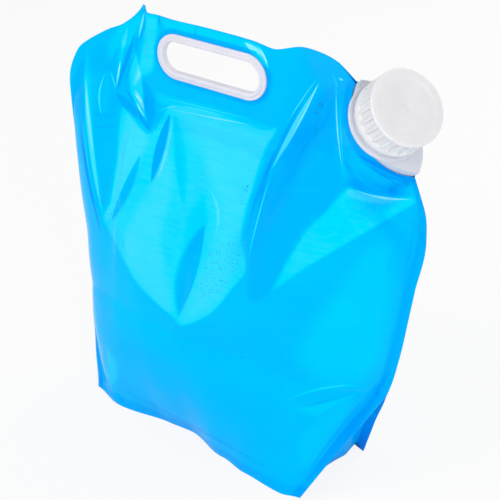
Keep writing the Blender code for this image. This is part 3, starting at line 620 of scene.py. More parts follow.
# Creases of the front panel alone: points, height in millimetres, reaches in pixels, sharpness
FRONT_CREASES = (
    # the ridge beside the left seal, from the shoulder down
    (((84, 57), (87, 90), (88, 125), (90, 165), (95, 195), (101, 214), (106, 240)), 2.2, 3.0, 9.0, 1.3),
    # two long hollows under the hand ring
    (((170, 110), (162, 145), (150, 186)), -2.4, 4.5, 4.5, 1.6),
    (((141, 153), (126, 190), (110, 224)), -2.0, 4.5, 6.0, 1.6),
    # the crumple below the left crease
    (((117, 92), (121, 104), (126, 113)), -1.8, 5.0, 3.0, 1.2),
    (((127, 104), (139, 117), (149, 132)), -1.6, 3.0, 4.0, 1.1),
    (((125, 85), (137, 95), (146, 122)), 1.6, 3.0, 4.0, 1.1),
    (((104, 68), (101, 92), (104, 117)), 0.9, 4.0, 4.0, 1.2),
    # the faint line across the left panel
    (((88, 125), (104, 128), (123, 123)), -0.5, 1.8, 1.8, 1.2),
    # the long fold from the header to the middle
    (((324, 68), (311, 84), (300, 101), (288, 123), (279, 142)), 1.3, 6.0, 2.6, 1.1),
    (((319, 80), (305, 103), (292, 124), (276, 150), (262, 180), (250, 212),
      (244, 243)), -3.4, 5.0, 4.0, 1.4),
    (((322, 76), (318, 96), (304, 116), (290, 138), (274, 166), (266, 180), (259, 208), (250, 240),
      (246, 268)), 2.8, 4.0, 12.0, 1.1),
    # the hollow in the middle of the bright part
    (((206, 222), (188, 262), (176, 322)), -2.6, 7.0, 7.0, 1.5),
    # the upright crease beside the spout
    (((331, 70), (337, 84), (337, 120), (337, 148), (341, 176), (348, 187)), 1.6, 10.0, 5.5, 1.3),
    # the facet below the spout
    (((348, 187), (362, 192), (380, 196)), 0.9, 7.0, 12.0, 1.2),
    (((398, 212), (376, 225), (350, 241), (310, 265), (272, 292)), 1.9, 12.0, 5.0, 1.3),
    (((348, 187), (328, 210), (305, 233), (285, 265), (272, 291)), -1.0, 6.0, 10.0, 1.3),
    # the faint level line right of the long fold
    (((271, 190), (305, 190), (337, 190)), -0.4, 1.8, 1.8, 1.2),
    # the arch over the fold of the base
    (((276, 407), (291, 398), (309, 392), (340, 388), (371, 387)), 1.3, 6.0, 2.4, 1.2),
    (((298, 408), (330, 402), (358, 392)), -1.2, 3.0, 5.0, 1.1),
    (((315, 416), (337, 404), (358, 392)), 1.0, 3.0, 4.0, 1.1),
    # small creases near the right seal
    (((390, 262), (396, 272), (408, 258)), 0.6, 3.0, 3.0, 1.2),
    (((378, 296), (384, 285), (392, 276)), 0.6, 2.5, 2.5, 1.2),
    (((366, 376), (376, 364), (384, 352)), 0.6, 3.0, 2.5, 1.2),
    (((338, 430), (345, 424), (356, 421)), 0.7, 2.5, 2.5, 1.2),
    (((345, 440), (351, 428), (353, 414)), -0.8, 3.0, 2.5, 1.2),
    # lower left corner
    (((98, 380), (108, 391), (122, 402)), 1.0, 3.0, 4.0, 1.1),
    (((116, 392), (124, 398), (121, 404)), -0.7, 2.5, 2.5, 1.2),
    (((130, 330), (118, 345), (104, 350)), 0.5, 5.0, 5.0, 1.4),
)

# Creases of the header, where the two panels are one: both panels move together
HEADER_CREASES = (
    (((147, 6), (143, 20), (137, 34), (128, 58), (121, 80), (116, 96)), 1.8, 9.0, 4.0, 1.2),
    (((146, 30), (138, 48), (130, 68), (124, 88)), -1.2, 4.0, 5.0, 1.3),
    (((159, 17), (159, 23), (160, 31)), -0.5, 1.5, 1.5, 1.3),
    (((195, 26), (196, 33), (196, 41)), -0.4, 1.5, 1.5, 1.3),
    (((240, 38), (246, 45), (258, 55)), 0.7, 3.0, 3.0, 1.2),
    (((262, 46), (267, 60), (269, 76)), 0.8, 2.5, 4.0, 1.2),
    (((271, 48), (275, 66), (277, 92), (276, 110)), -1.0, 4.0, 6.0, 1.2),
)

# %% [markdown]
# ## Where the film is deep and where it is bright
#
# Two layers of clear film welded together look deeper than one, so the seals are deeper. The outlines
# below are painted light and shade: a pale one is a painted highlight where a facet faces the lamps, and a
# deep one is painted shade where the film turns away from them. Seals and painted light are stored on the
# mesh as one number for each point, from about -1 for deep to 1 for pale, and the material reads it. Each
# outline is a closed shape in the picture, how much paler or deeper it makes the film, and how many pixels
# wide its soft edge is. A False at the end keeps its corners sharp.

# %% Tones: painted light and shade
PAINTED_LIGHT_PATCHES = (
    # painted highlight on the wide lit part of the front panel, from the header seal down to a wavy line
    (((121, 112), (124, 108), (149, 134), (168, 108), (180, 106), (214, 112), (262, 129), (277, 128),
      (266, 150), (256, 180), (246, 212), (243, 240), (246, 270), (233, 288), (217, 308), (200, 320),
      (181, 325), (171, 315), (160, 307), (150, 297), (138, 284), (125, 262), (113, 238), (104, 218),
      (110, 202), (115, 176), (118, 150), (119, 130)), 0.62, 1.4),
    # its brightest painted highlights
    (((176, 108), (262, 131), (275, 131), (264, 156), (252, 196), (238, 240), (222, 292), (192, 318),
      (184, 318), (198, 286), (214, 240), (220, 210), (212, 180), (196, 140)), 0.20, 9.0),
    (((128, 112), (147, 134), (140, 160), (112, 215), (104, 212), (112, 180), (122, 145)), 0.25, 4.0),
    (((150, 190), (166, 150), (172, 190), (160, 240), (170, 290), (168, 314), (140, 282), (124, 250),
      (134, 214)), 0.22, 6.0),
    # painted shade on the left part between the side seal and the crease, and painted highlights above it
    (((95, 52), (118, 36), (122, 52), (115, 95), (118, 130), (115, 170), (108, 206), (99, 190),
      (94, 140)), -0.12, 3.0),
    (((124, 22), (142, 12), (140, 24), (130, 44), (118, 48), (110, 60), (108, 44)), 0.42, 4.0),
    (((147, 14), (158, 18), (157, 40), (153, 70), (142, 76), (134, 84), (141, 56)), 0.65, 2.5),
    # painted highlights on the header above and right of the ring
    (((160, 18), (200, 27), (245, 41), (262, 56), (240, 54), (205, 40), (170, 32)), 0.42, 2.5),
    (((242, 40), (252, 42), (266, 52), (268, 70), (262, 62), (254, 54)), 0.5, 1.5),
    (((156, 92), (176, 98), (216, 108), (262, 124), (268, 128), (214, 112), (176, 106),
      (160, 104)), 0.35, 2.0),
    # painted shade on the field between the long fold and the upright crease
    (((273, 170), (290, 142), (306, 116), (322, 92), (334, 90), (335, 150), (343, 182), (330, 205),
      (300, 235), (272, 290), (250, 300), (249, 262), (258, 212), (266, 182)), -0.34, 3.0),
    # painted highlights on the facet below the spout, and a strip of painted shade under the weld
    (((348, 187), (370, 195), (398, 198), (416, 198), (414, 204), (386, 220), (357, 237), (310, 265),
      (271, 292), (284, 265), (305, 232), (328, 210)), 0.58, 1.2, False),
    (((349, 188), (370, 196), (398, 199), (384, 204), (362, 200), (348, 194)), 0.35, 1.6),
    (((340, 190), (350, 178), (380, 186), (412, 194), (372, 192), (350, 187)), -0.40, 2.5),
    # painted highlight on the right shoulder, outside the upright crease
    (((350, 150), (372, 164), (404, 184), (416, 196), (380, 190), (352, 180)), 0.18, 3.0),
    # painted highlights on the lower right part and on the lower left
    (((330, 300), (372, 250), (392, 250), (392, 300), (384, 350), (356, 384), (316, 380),
      (300, 350)), 0.34, 14.0),
    (((296, 408), (330, 399), (360, 391), (338, 404), (315, 417)), 0.28, 2.4, False),
    (((318, 420), (346, 400), (352, 402), (330, 440), (306, 468), (300, 440)), 0.22, 5.0),
    (((101, 214), (125, 262), (150, 300), (176, 326), (160, 350), (116, 330), (104, 270)), 0.10, 6.0),
    (((108, 350), (116, 360), (118, 376), (112, 384), (107, 372)), 0.45, 3.0),
)
print(len(FRONT_CREASES) + len(HEADER_CREASES), "creases and", len(PAINTED_LIGHT_PATCHES), "tones")

# %% [markdown]
# ## Fine lines
#
# The light and shade of the finest lines of a creased film are thinner than a cell of the grid, so they
# are painted. Each one is a leaf: a shape between two arcs that share their two ends. A thin leaf is a
# painted highlight or a painted line of shade that tapers at both ends, and a wide one is a painted patch,
# pale or deep, with a crisp rim. A leaf is written as its two ends and one point on each arc, as they fall
# in the picture, then how soft each side is in pixels, and how much paler or deeper it makes the film. The
# span says how wide one pixel of the picture is on the film.

# %% Leaves: painted lines of light and shade
PAINTED_LIGHT_LINES = (
    # the left crease: painted shade in its fold and in the line beside it, a painted highlight line and a
    # painted pale strip on its left
    ((137, 28), (115.5, 94), (124.5, 58), (129.5, 58), 0.9, 0.9, -0.85),
    ((139, 38), (124, 84), (132.4, 58), (134.4, 58), 0.7, 0.7, -0.75),
    ((146, 7), (138, 41), (140.6, 22), (143.2, 24), 0.8, 0.8, 1.2),
    ((146.5, 14), (138, 43), (142.4, 28), (144.8, 29), 0.8, 0.8, -0.8),
    ((121, 58), (116, 91), (117.1, 74), (119.5, 74), 0.8, 0.8, 1.2),
    ((130, 20), (117, 86), (117.5, 52), (124.5, 52), 4.0, 1.2, 0.5),
    # painted highlights on the arch in the left panel, and faint lines of painted shade under it
    ((109, 67), (104, 122), (99.0, 88), (101.4, 88), 0.8, 0.8, 1.1),
    ((109, 68), (116, 92), (111.6, 78), (113.8, 78), 0.8, 0.8, 1.0),
    ((109, 68), (104, 122), (101, 90), (113, 88), 1.0, 5.0, 0.2),
    ((91, 114), (118, 116), (104, 113.4), (104, 117.4), 1.2, 1.2, -0.25),
    ((87, 126), (122, 123), (104, 126), (104, 128), 0.7, 0.7, -0.35),
    # a painted highlight on the ridge beside the left seal, and painted shade in the strip outside it
    ((84, 52), (105, 226), (86.5, 130), (93, 130), 1.0, 2.5, 1.0),
    ((79, 112), (104, 242), (84.2, 166), (88.4, 168), 0.9, 0.9, -1.1),
    ((88, 40), (94, 162), (85.5, 96), (93.0, 96), 1.0, 4.0, 0.35),
    ((84, 108), (104, 238), (87.8, 170), (89.4, 170), 0.6, 0.6, 0.75),
    ((84, 56), (84, 128), (70, 90), (86, 90), 3.0, 1.0, -0.35),
    # painted light and shade on the crumple below the left crease
    ((116, 93), (139, 120), (124, 108), (131, 101), 0.9, 0.9, -0.6),
    ((117, 98), (142, 123), (124, 109), (125.5, 112), 0.7, 1.0, 0.5),
    ((135, 46), (147, 125), (129.5, 86), (143.0, 84), 1.2, 1.6, 0.6),
    ((143, 77), (150, 132), (143.0, 104), (156.5, 106), 1.0, 2.2, -0.5),
    ((125, 87), (139, 110), (131.0, 100), (133.6, 98.2), 0.7, 0.7, -0.6),
    ((133, 92), (143, 104), (137.8, 98.8), (139.2, 97.7), 0.6, 0.6, 0.9),
    ((136, 101), (145, 118), (139.6, 110.6), (141.4, 109.6), 0.6, 0.6, 0.9),
    ((136, 106), (151, 132), (141.2, 121.5), (144.2, 116.5), 0.9, 0.9, -0.8),
    ((134, 88), (145, 112), (137, 99), (141, 96.5), 1.0, 1.0, 0.6),
    # painted shade in the two hollows under the ring, with a painted highlight on the rim of the first
    ((170.3, 112.5), (150.8, 184.2), (155.6, 146), (164.8, 149), 0.9, 0.8, -1.25),
    ((173, 110), (152, 192), (165.2, 149), (169.2, 150.5), 0.8, 2.5, 0.45),
    ((141.5, 152), (110.5, 223), (124.5, 182), (133, 188), 1.3, 2.8, -0.85),
    # painted shade in the hollow in the middle and in the band above it, and a painted highlight on the soft
    # arc beside it
    ((205.5, 221), (177.5, 319), (174.0, 278), (198.5, 268), 5.0, 1.0, -0.8),
    ((206, 186), (188, 268), (184, 222), (208, 226), 11.0, 7.0, -0.22),
    ((174, 106), (184, 214), (173.0, 150), (188, 160), 4.0, 9.0, -0.36),
    ((206, 184), (212, 244), (215, 208), (219.5, 208), 1.8, 1.8, 0.35),
    # the long fold: painted highlights on its two outlines and its pale strip, painted shade in its valley,
    # and the painted light and shade of the lines below
    ((324.5, 68.5), (283, 130), (302.0, 98), (304.2, 98), 0.7, 0.7, 1.1),
    ((324.5, 68.5), (273.5, 167), (301.0, 118), (303.2, 118), 0.7, 0.7, 1.2),
    ((321, 80), (270.5, 172), (291.2, 126.5), (297.2, 127.5), 0.8, 0.8, 1.05),
    ((303, 100), (262, 184), (279.3, 141), (284.4, 141), 0.9, 0.8, -0.6),
    ((276, 146), (245.5, 254), (253.6, 200), (262.0, 200), 1.2, 0.8, -0.55),
    ((262, 190), (246, 250), (249.4, 222), (255.6, 222), 1.0, 1.0, 0.5),
    ((273.5, 166), (246.5, 268), (257.2, 217), (259.4, 217), 0.7, 0.7, 1.2),
    # the upright crease beside the spout: two painted highlight lines and painted shade in the streaks right
    # of them
    ((336.5, 72), (345, 184), (336.2, 127), (338.4, 127), 0.8, 0.8, 1.5),
    ((329, 70), (338, 92), (334.2, 81), (336.2, 81), 0.7, 0.7, 0.7),
    ((340, 92), (347, 187), (340.2, 137), (341.9, 137), 0.7, 0.7, 0.8),
    ((338, 78), (344, 81), (341, 77.8), (341, 80.8), 0.8, 0.8, 1.4),
    ((346, 82), (351, 150), (346.0, 115), (348.6, 115), 0.9, 0.9, -0.5),
    ((351, 92), (358, 150), (352, 120), (354, 120), 0.8, 0.8, -0.45),
    # below the weld: painted shade in the wedge and in the line under it, and a painted highlight on the top
    # edge of the facet
    ((355, 154), (410, 181), (383, 162.5), (381, 169.5), 0.9, 0.9, -1.2),
    ((342, 148), (420, 199), (380, 172.6), (380, 175.0), 0.8, 0.8, -0.6),
    ((348, 187), (416, 198.5), (376, 194.8), (376, 198.2), 0.8, 1.2, 0.9),
    ((272, 190), (337, 190), (304, 189), (304, 191), 0.8, 0.8, 0.28),
    # painted highlights along the edge of the header's seal and on the ripples above it
    ((163, 107.5), (284, 130.5), (222, 118.4), (222, 120.6), 0.7, 0.9, 0.55),
    ((156, 114), (179, 106.6), (165, 107.0), (166.4, 109.4), 0.8, 1.2, 0.6),
    ((152, 95), (262, 122), (205, 107.2), (205, 108.9), 0.6, 0.6, 0.5),
    ((160, 100), (250, 121), (205, 110.4), (205, 111.8), 0.6, 0.6, 0.35),
    # painted light and shade of small creases along the header's edge and right of the ring
    ((158.5, 15), (159.5, 28), (157.6, 21), (160.8, 21), 0.9, 0.9, -0.9),
    ((195, 25), (195.5, 39), (194.2, 31), (196.8, 31), 0.8, 0.8, -0.6),
    ((244, 42), (269, 70), (260.5, 50), (254, 57), 1.0, 1.0, 0.75),
    ((254, 43), (270, 78), (263.4, 57), (265.4, 56), 0.7, 0.7, 1.0),
    ((240, 38), (269, 72), (251, 52.5), (254.4, 55.5), 0.8, 0.8, -0.5),
    ((262, 45), (271, 90), (266, 62), (269, 62), 0.9, 0.9, -0.55),
    # the lower part: a dark line along the foot seal, painted highlight and shade on the arch over the base's
    # fold, and painted shade on the lines of the right leg
    ((104, 381), (296, 486), (200, 428.6), (200, 431.4), 0.8, 0.8, -0.6),
    ((276, 407), (372, 387), (318, 388), (318, 391.4), 0.8, 2.0, 0.6),
    ((296, 409), (362, 391), (330, 397.6), (331, 402), 1.2, 1.2, -0.35),
    ((301, 482), (384, 376), (340.5, 424.5), (343.5, 426.5), 0.9, 0.9, -0.5),
    ((303, 486), (392, 366), (345, 425), (353, 437), 1.5, 1.5, -0.3),
    ((414, 206), (378, 294), (396.6, 246), (398.4, 246), 0.8, 0.8, -0.35),
    ((396, 308), (379, 394), (387.8, 352), (389.6, 352), 0.8, 0.8, -0.4),
    ((419, 201), (396, 312), (408.8, 250), (411.0, 250), 0.8, 0.8, -0.4),
)
PIXEL_SPAN = 0.0007
print(len(PAINTED_LIGHT_LINES), "leaves")

# %% [markdown]
# ## A closed sheet from a grid of points
#
# A film is a grid with a thickness. The helper takes the inner face as a grid, lays a second face one
# film thickness outside it, and closes the rim, so that the mesh is a thin solid with its faces outwards.
# Cells can be left out, which is how the hand hole gets through.

# %% Closed sheets
SHEET_SHARP_DEG = 55.0
RING_SHARP_DEG = 50.0
PART_SHARP_DEG = 32.0
SHORTEST = 1e-12


def grid_normals(points):
    """The unit normal at each point of a grid."""
    normal = np.cross(np.gradient(points, axis=1), np.gradient(points, axis=0))
    return normal / np.maximum(np.linalg.norm(normal, axis=-1, keepdims=True), SHORTEST)


def shade(mesh, sharp_deg):
    """Shade a mesh smooth, with the edges kept sharp that turn by more than an angle."""
    mesh.shade_smooth()
    mesh.set_sharp_from_angle(angle=math.radians(sharp_deg))


def mesh_object(name, points, faces, finish, sharp_deg):
    """A linked object from arrays of points and faces."""
    mesh = bpy.data.meshes.new(name)
    mesh.from_pydata(np.asarray(points).tolist(), [], [tuple(int(i) for i in face) for face in faces])
    mesh.materials.append(finish)
    shade(mesh, sharp_deg)
    mesh.update()
    return linked_object(name, mesh)


def through_bmesh(piece, *changes):
    """Change a piece's mesh with functions that take it as a bmesh."""
    work = bmesh.new()
    work.from_mesh(piece.data)
    for change in changes:
        change(work)
    work.to_mesh(piece.data)
    work.free()


def outward_normals(work):
    """Turn all faces outwards."""
    bmesh.ops.recalc_face_normals(work, faces=work.faces)


def merge_doubles(distance):
    """A change that joins points closer than a distance, and drops the faces that have no area left."""
    def change(work):
        bmesh.ops.remove_doubles(work, verts=work.verts, dist=distance)
        bmesh.ops.dissolve_degenerate(work, dist=distance, edges=work.edges)
    return change


def closed_sheet(name, grid, keep, outwards, finish, marks):
    """A film solid from its inner face. outwards is 1 or -1 along the grid's own normal."""
    rows, columns = grid.shape[:2]
    normal = grid_normals(grid) * outwards
    inner = grid.reshape(-1, 3)
    outer = (grid + FILM * normal).reshape(-1, 3)
    number = np.arange(rows * columns).reshape(rows, columns)
    cells = np.stack([number[:-1, :-1], number[:-1, 1:], number[1:, 1:], number[1:, :-1]], axis=-1)[keep]
    if outwards < 0:
        cells = cells[:, ::-1]
    top = cells + rows * columns
    low = cells[:, ::-1]
    edges = np.stack([cells, np.roll(cells, -1, axis=1)], axis=-1).reshape(-1, 2)
    _, first, counts = np.unique(np.sort(edges, axis=1), axis=0, return_index=True, return_counts=True)
    start, end = edges[first[counts == 1]].T
    sides = np.stack([start, end, end + rows * columns, start + rows * columns], axis=-1)
    used, faces = np.unique(np.vstack([top, low, sides]), return_inverse=True)
    points = np.vstack([inner, outer])[used]
    made = mesh_object(name, points, faces.reshape(-1, 4), finish, SHEET_SHARP_DEG)
    for mark, values in marks.items():
        attribute = made.data.attributes.new(mark, "FLOAT", "POINT")
        both = np.concatenate([values.ravel(), values.ravel()])[used]
        attribute.data.foreach_set("value", both.astype(np.float32))
    return made


print("a film", FILM, "thick, sharp from", SHEET_SHARP_DEG, "degrees")

# %% [markdown]
# ## Materials
#
# The film is one glossy dielectric. Its colour runs from a deep blue to a pale one, by the tone on the
# mesh and by the leaves, which hold its seals and its painted light and shade. Some light passes through
# it. Its gloss has a tint, because most of what it reflects has been through the blue.
#
# Moulded plastic has a fine grain and slow changes of colour where the melt flowed. Four materials use
# that, so it is a node group with named inputs.

# %% Node groups of the materials
PLACE, FLOAT = "Vector", "Float"
GRAIN_DETAIL = (("Flow", 3.0), ("Grain", 2.0))
GRAIN_ROUGHNESS = 0.55
DRAWN_SCALE = (0.16, 1.0, 1.0)
DRAWN_SLANT = (0.0, math.radians(-12.0), 0.0)
CLOUD_SCALE = 22.0
RIPPLE_HEIGHT = 0.35


def noise(tree, place, scale, detail, roughness=0.5):
    """The strength of a noise at each place."""
    inputs = {"Vector": place, "Scale": scale, "Detail": detail, "Roughness": roughness}
    return add_node(tree, "ShaderNodeTexNoise", inputs).outputs["Fac"]


def object_place(tree):
    """Each point's place on the object itself."""
    return add_node(tree, "ShaderNodeTexCoord").outputs["Object"]


def grain_group():
    """Slow flow marks and fine grain of a moulded plastic."""
    sockets = [("Flow scale", FLOAT, 30.0), ("Grain scale", FLOAT, 1400.0)]
    results = [("Flow", FLOAT), ("Grain", FLOAT)]
    group, start, end = new_group("moulded_grain", "ShaderNodeTree", sockets, results)
    place = object_place(group)
    for name, detail in GRAIN_DETAIL:
        fill(group, end, {name: noise(group, place, start[f"{name} scale"], detail, GRAIN_ROUGHNESS)})
    return group


def crinkle_group():
    """The fine unevenness of a drawn film: long ripples across it, and a slower cloudiness."""
    outputs = [("Height", FLOAT), ("Cloud", FLOAT), ("Ripple", FLOAT)]
    group, start, end = new_group("film_crinkle", "ShaderNodeTree", [("Ripple scale", FLOAT, 220.0)], outputs)
    place = object_place(group)
    inputs = {"Vector": place, "Scale": DRAWN_SCALE, "Rotation": DRAWN_SLANT}
    drawn = add_node(group, "ShaderNodeMapping", inputs).outputs[0]
    ripple = noise(group, drawn, start["Ripple scale"], detail=2.0)
    cloud = noise(group, place, CLOUD_SCALE, detail=3.0)
    height = math_node(group, "MULTIPLY_ADD", ripple, RIPPLE_HEIGHT, cloud)
    fill(group, end, {"Height": height, "Cloud": cloud, "Ripple": ripple})
    return group


def leaf_group():
    """One leaf added to a value: the part of the film between two arcs that share their ends, painted paler
    as a highlight where its weight is positive and deeper as shade where it is negative.
    """
    places = [(name, PLACE) for name in ("Place", "Start", "Along", "Across")]
    names = ("Value", "Low bow", "High bow", "Low sharpness", "High sharpness", "Weight")
    sockets = places + [(name, FLOAT) for name in names]
    group, start, end = new_group("film_leaf", "ShaderNodeTree", sockets, [("Value", FLOAT)])

    def vector_node(operation, first, second):
        return add_node(group, "ShaderNodeVectorMath", {0: first, 1: second}, operation=operation).outputs

    offset = vector_node("SUBTRACT", start["Place"], start["Start"])["Vector"]
    along = vector_node("DOT_PRODUCT", offset, start["Along"])["Value"]
    across = vector_node("DOT_PRODUCT", offset, start["Across"])["Value"]
    bow = math_node(group, "MULTIPLY", along, math_node(group, "SUBTRACT", 1.0, along))
    bow = math_node(group, "MAXIMUM", bow, 0.0)
    low = math_node(group, "SUBTRACT", across, math_node(group, "MULTIPLY", bow, start["Low bow"]))
    high = math_node(group, "SUBTRACT", math_node(group, "MULTIPLY", bow, start["High bow"]), across)
    low = math_node(group, "MULTIPLY", low, start["Low sharpness"], clamp=True)
    high = math_node(group, "MULTIPLY", high, start["High sharpness"], clamp=True)
    inside = math_node(group, "MULTIPLY", low, high)
    fill(group, end, {"Value": math_node(group, "MULTIPLY_ADD", inside, start["Weight"], start["Value"])})
    return group


film_leaf = leaf_group()
moulded_grain = grain_group()
film_crinkle = crinkle_group()
print("groups", [group.name for group in bpy.data.node_groups])

# %% Material helpers
# the strengths between which a noise mostly lies
NOISE_SPAN = (0.3, 0.7)
# a mix node has a pair of inputs and a result for each kind of value: these are the ones for colours
MIX_FIRST, MIX_SECOND, MIX_RESULT = 6, 7, 2


def new_material(name):
    """A material with its tree and its shader."""
    made = bpy.data.materials.new(name)
    made.use_nodes = True
    return made, made.node_tree, made.node_tree.nodes["Principled BSDF"]


def colour_ramp(tree, value, stops):
    """The colour that a ramp gives to a value, from places on the ramp and their colours."""
    ramp = add_node(tree, "ShaderNodeValToRGB", {"Fac": value})
    elements = ramp.color_ramp.elements
    for element, (place, colour) in zip(elements, (stops[0], stops[-1])):
        element.position, element.color = place, colour
    for place, colour in stops[1:-1]:
        elements.new(place).color = colour
    return ramp.outputs["Color"]


def bump(tree, height, strength, distance):
    """The normals of a surface with a fine unevenness."""
    inputs = {"Height": height, "Strength": strength, "Distance": distance}
    return add_node(tree, "ShaderNodeBump", inputs).outputs[0]


print("a noise mostly lies between", *NOISE_SPAN)


# %% Film material
# the film's colour at each tone, from deep to the palest painted glint; the pale end paints highlights and
# the deep end seals and shade
TONE_COLOURS = (
    (-1.2, (0.0, 0.29, 0.93, 1.0)),
    (0.0, (0.0, 0.50, 1.0, 1.0)),
    (0.55, (0.0, 0.64, 1.0, 1.0)),
    (1.0, (0.05, 0.68, 1.0, 1.0)),
    (1.8, (0.34, 0.88, 1.0, 1.0)),
)
EDGE_VIOLET = (0.24, 0.42, 0.95, 1.0)
SHINE_BLUE = (0.0, 0.70, 1.0, 1.0)
# how strong the painted streaks of highlight are in the pale parts
HIGHLIGHT_STREAK = 0.19
CLOUD = 0.30
# roughness where the cloudiness is least and most, and how strong and how high the unevenness is
FILM_ROUGHNESS = (0.07, 0.18)
FILM_BUMP = (0.35, 0.0004)
FILM_RIPPLE = 380.0
BASE_RIPPLE = 160.0


def add_leaves(tree, value, leaves):
    """The value with every leaf's painted light and shade added to it."""
    place = object_place(tree)
    for leaf in leaves:
        inputs = {**leaf, "Place": place, "Value": value}
        value = add_node(tree, "ShaderNodeGroup", inputs, node_tree=film_leaf).outputs["Value"]
    return value


def film_material(name, ripple, leaves=()):
    """Glossy blue film, deep to pale by its seals and the painted light and shade of the tone and the leaves,
    and violet at its bare edge.
    """
    made, tree, shader = new_material(name)
    tone = add_node(tree, "ShaderNodeAttribute", attribute_name="tone").outputs["Fac"]
    edge = add_node(tree, "ShaderNodeAttribute", attribute_name="bare_edge").outputs["Fac"]
    crinkle = add_node(tree, "ShaderNodeGroup", {"Ripple scale": ripple}, node_tree=film_crinkle).outputs
    # painted streaks of highlight, strongest where the tone paints the film pale
    pale = math_node(tree, "MULTIPLY", tone, 1.0, clamp=True)
    highlight_streak = map_range(tree, crinkle["Ripple"], (-HIGHLIGHT_STREAK / 2, HIGHLIGHT_STREAK / 2), NOISE_SPAN)
    value = math_node(tree, "MULTIPLY_ADD", highlight_streak, pale, add_leaves(tree, tone, leaves))
    value = math_node(tree, "SUBTRACT", value, CLOUD / 2)
    value = math_node(tree, "MULTIPLY_ADD", crinkle["Cloud"], CLOUD, value)
    low, high = TONE_COLOURS[0][0], TONE_COLOURS[-1][0]
    stops = [((level - low) / (high - low), colour) for level, colour in TONE_COLOURS]
    colour = colour_ramp(tree, map_range(tree, value, (0.0, 1.0), (low, high)), stops)
    inputs = {"Factor": edge, MIX_FIRST: colour, MIX_SECOND: EDGE_VIOLET}
    fill(tree, shader, {
        "Base Color": add_node(tree, "ShaderNodeMix", inputs, data_type="RGBA").outputs[MIX_RESULT],
        "Roughness": map_range(tree, crinkle["Cloud"], FILM_ROUGHNESS),
        "Normal": bump(tree, crinkle["Height"], *FILM_BUMP),
        "Metallic": 0.0, "IOR": 1.09, "Transmission Weight": 0.10, "Coat Weight": 0.0,
        "Specular IOR Level": 0.5, "Specular Tint": SHINE_BLUE,
    })
    return made


film_finish = film_material("blue_film", FILM_RIPPLE)
base_finish = film_material("blue_film_base", BASE_RIPPLE)
print("the film has", len(TONE_COLOURS), "tone colours")

# %% Plastic, foam and water
ROUGHNESS_DRIFT = 0.06
GRAIN_BUMP = 0.25
WATER_NOISE = 900.0
WATER_BUMP = (0.15, 0.00005)


def plastic_material(name, dark, light, roughness, grain_height, clear=0.0, inside=0.0):
    """A moulded plastic whose colour drifts slowly and whose surface has a fine grain."""
    made, tree, shader = new_material(name)
    grain = add_node(tree, "ShaderNodeGroup", node_tree=moulded_grain).outputs
    spread = (roughness - ROUGHNESS_DRIFT, roughness + ROUGHNESS_DRIFT)
    stops = list(zip(NOISE_SPAN, ((*dark, 1.0), (*light, 1.0))))
    fill(tree, shader, {
        "Base Color": colour_ramp(tree, grain["Flow"], stops),
        "Roughness": map_range(tree, grain["Flow"], spread),
        "Normal": bump(tree, grain["Grain"], GRAIN_BUMP, grain_height),
        "Metallic": 0.0, "IOR": 1.5, "Transmission Weight": clear,
        "Subsurface Weight": inside, "Subsurface Scale": 0.004, "Subsurface Radius": (1.0, 0.95, 0.9),
    })
    return made


def drop_material():
    """Water, a little uneven, with a deep blue painted into its colour for the film seen through it and for
    the dark edge of a drop.
    """
    made, tree, shader = new_material("water")
    fill(tree, shader, {
        "Base Color": (0.0, 0.42, 0.78, 1.0), "Roughness": 0.08,
        "Normal": bump(tree, noise(tree, object_place(tree), WATER_NOISE, 1.0), *WATER_BUMP),
        "IOR": 1.33, "Transmission Weight": 0.5,
    })
    return made


# a dark and a light colour, the roughness, the height of the grain, and then what light does inside
RING_LOOK = ((0.60, 0.59, 0.66), (0.68, 0.67, 0.74), 0.34, 0.00008)
CAP_LOOK = ((0.685, 0.68, 0.70), (0.755, 0.752, 0.775), 0.42, 0.00012, 0.0, 0.25)
SPOUT_LOOK = ((0.74, 0.765, 0.85), (0.82, 0.845, 0.92), 0.30, 0.00008, 0.26)
LINER_LOOK = ((0.74, 0.75, 0.76), (0.82, 0.82, 0.83), 0.70, 0.0002)
ring_finish = plastic_material("ring_plastic", *RING_LOOK)
cap_finish = plastic_material("cap_plastic", *CAP_LOOK)
spout_finish = plastic_material("spout_plastic", *SPOUT_LOOK)
drop_finish = drop_material()
liner_finish = plastic_material("liner_foam", *LINER_LOOK)
print("materials", [m.name for m in bpy.data.materials])

# %% [markdown]
# ## The two film panels
#
# Each panel is a grid of points. The front one carries the creases. The header creases move both panels
# together, because they are welded there. Near the ring the film is held flat by the ring's flange, and
# at the spout it is welded to the boat, so the creases fade out towards both.

# %% Waves and seals
WAVE_COUNT = 9
WAVE_LENGTHS = (0.028, 0.085)
# how much deeper the film looks in its seals, how wide the seals are, and how soft their edges
FOOT_TONE, FOOT_SPREAD, FOOT_BLUR = 0.34, 1.35, 0.2
SIDE_TONE, SIDE_SPREAD, SIDE_BLUR = 0.25, 1.05, 0.25
RING_TONE, RING_SPREAD, RING_BLUR = 0.45, 0.0042, 0.0010
WELD_TONE, WELD_SPREAD, WELD_BLUR, WELD_END_BLUR = 0.50, 0.004, 0.0010, 0.002
TONE_LIMIT = 1.15
BARE_WIDTH = 0.0035 / BAG_WIDTH
BARE_SHARE = 0.25
LEG_BLUR = 0.01
# where a crease may start outside the ring, and over which way it gets its full height
FREE_START, FREE_RUN = 0.0015, 0.006


def soft_waves(x, z, seed):
    """A slow unevenness from a few fixed waves, between about -1 and 1."""
    draw = np.random.default_rng(seed)
    total = np.zeros_like(x)
    for _ in range(WAVE_COUNT):
        angle, length, phase = draw.uniform(0, np.pi), draw.uniform(*WAVE_LENGTHS), draw.uniform(0, 2 * np.pi)
        total += np.sin(2 * np.pi * (x * np.cos(angle) + z * np.sin(angle)) / length + phase)
    return total * 2 / WAVE_COUNT


def free_share(x, z):
    """1 where the film is free to crease, 0 under the ring and at the weld."""
    return ease((ring_offset(x, z) - RING_FACE - FREE_START) / FREE_RUN) * (1 - weld_hold(x, z))


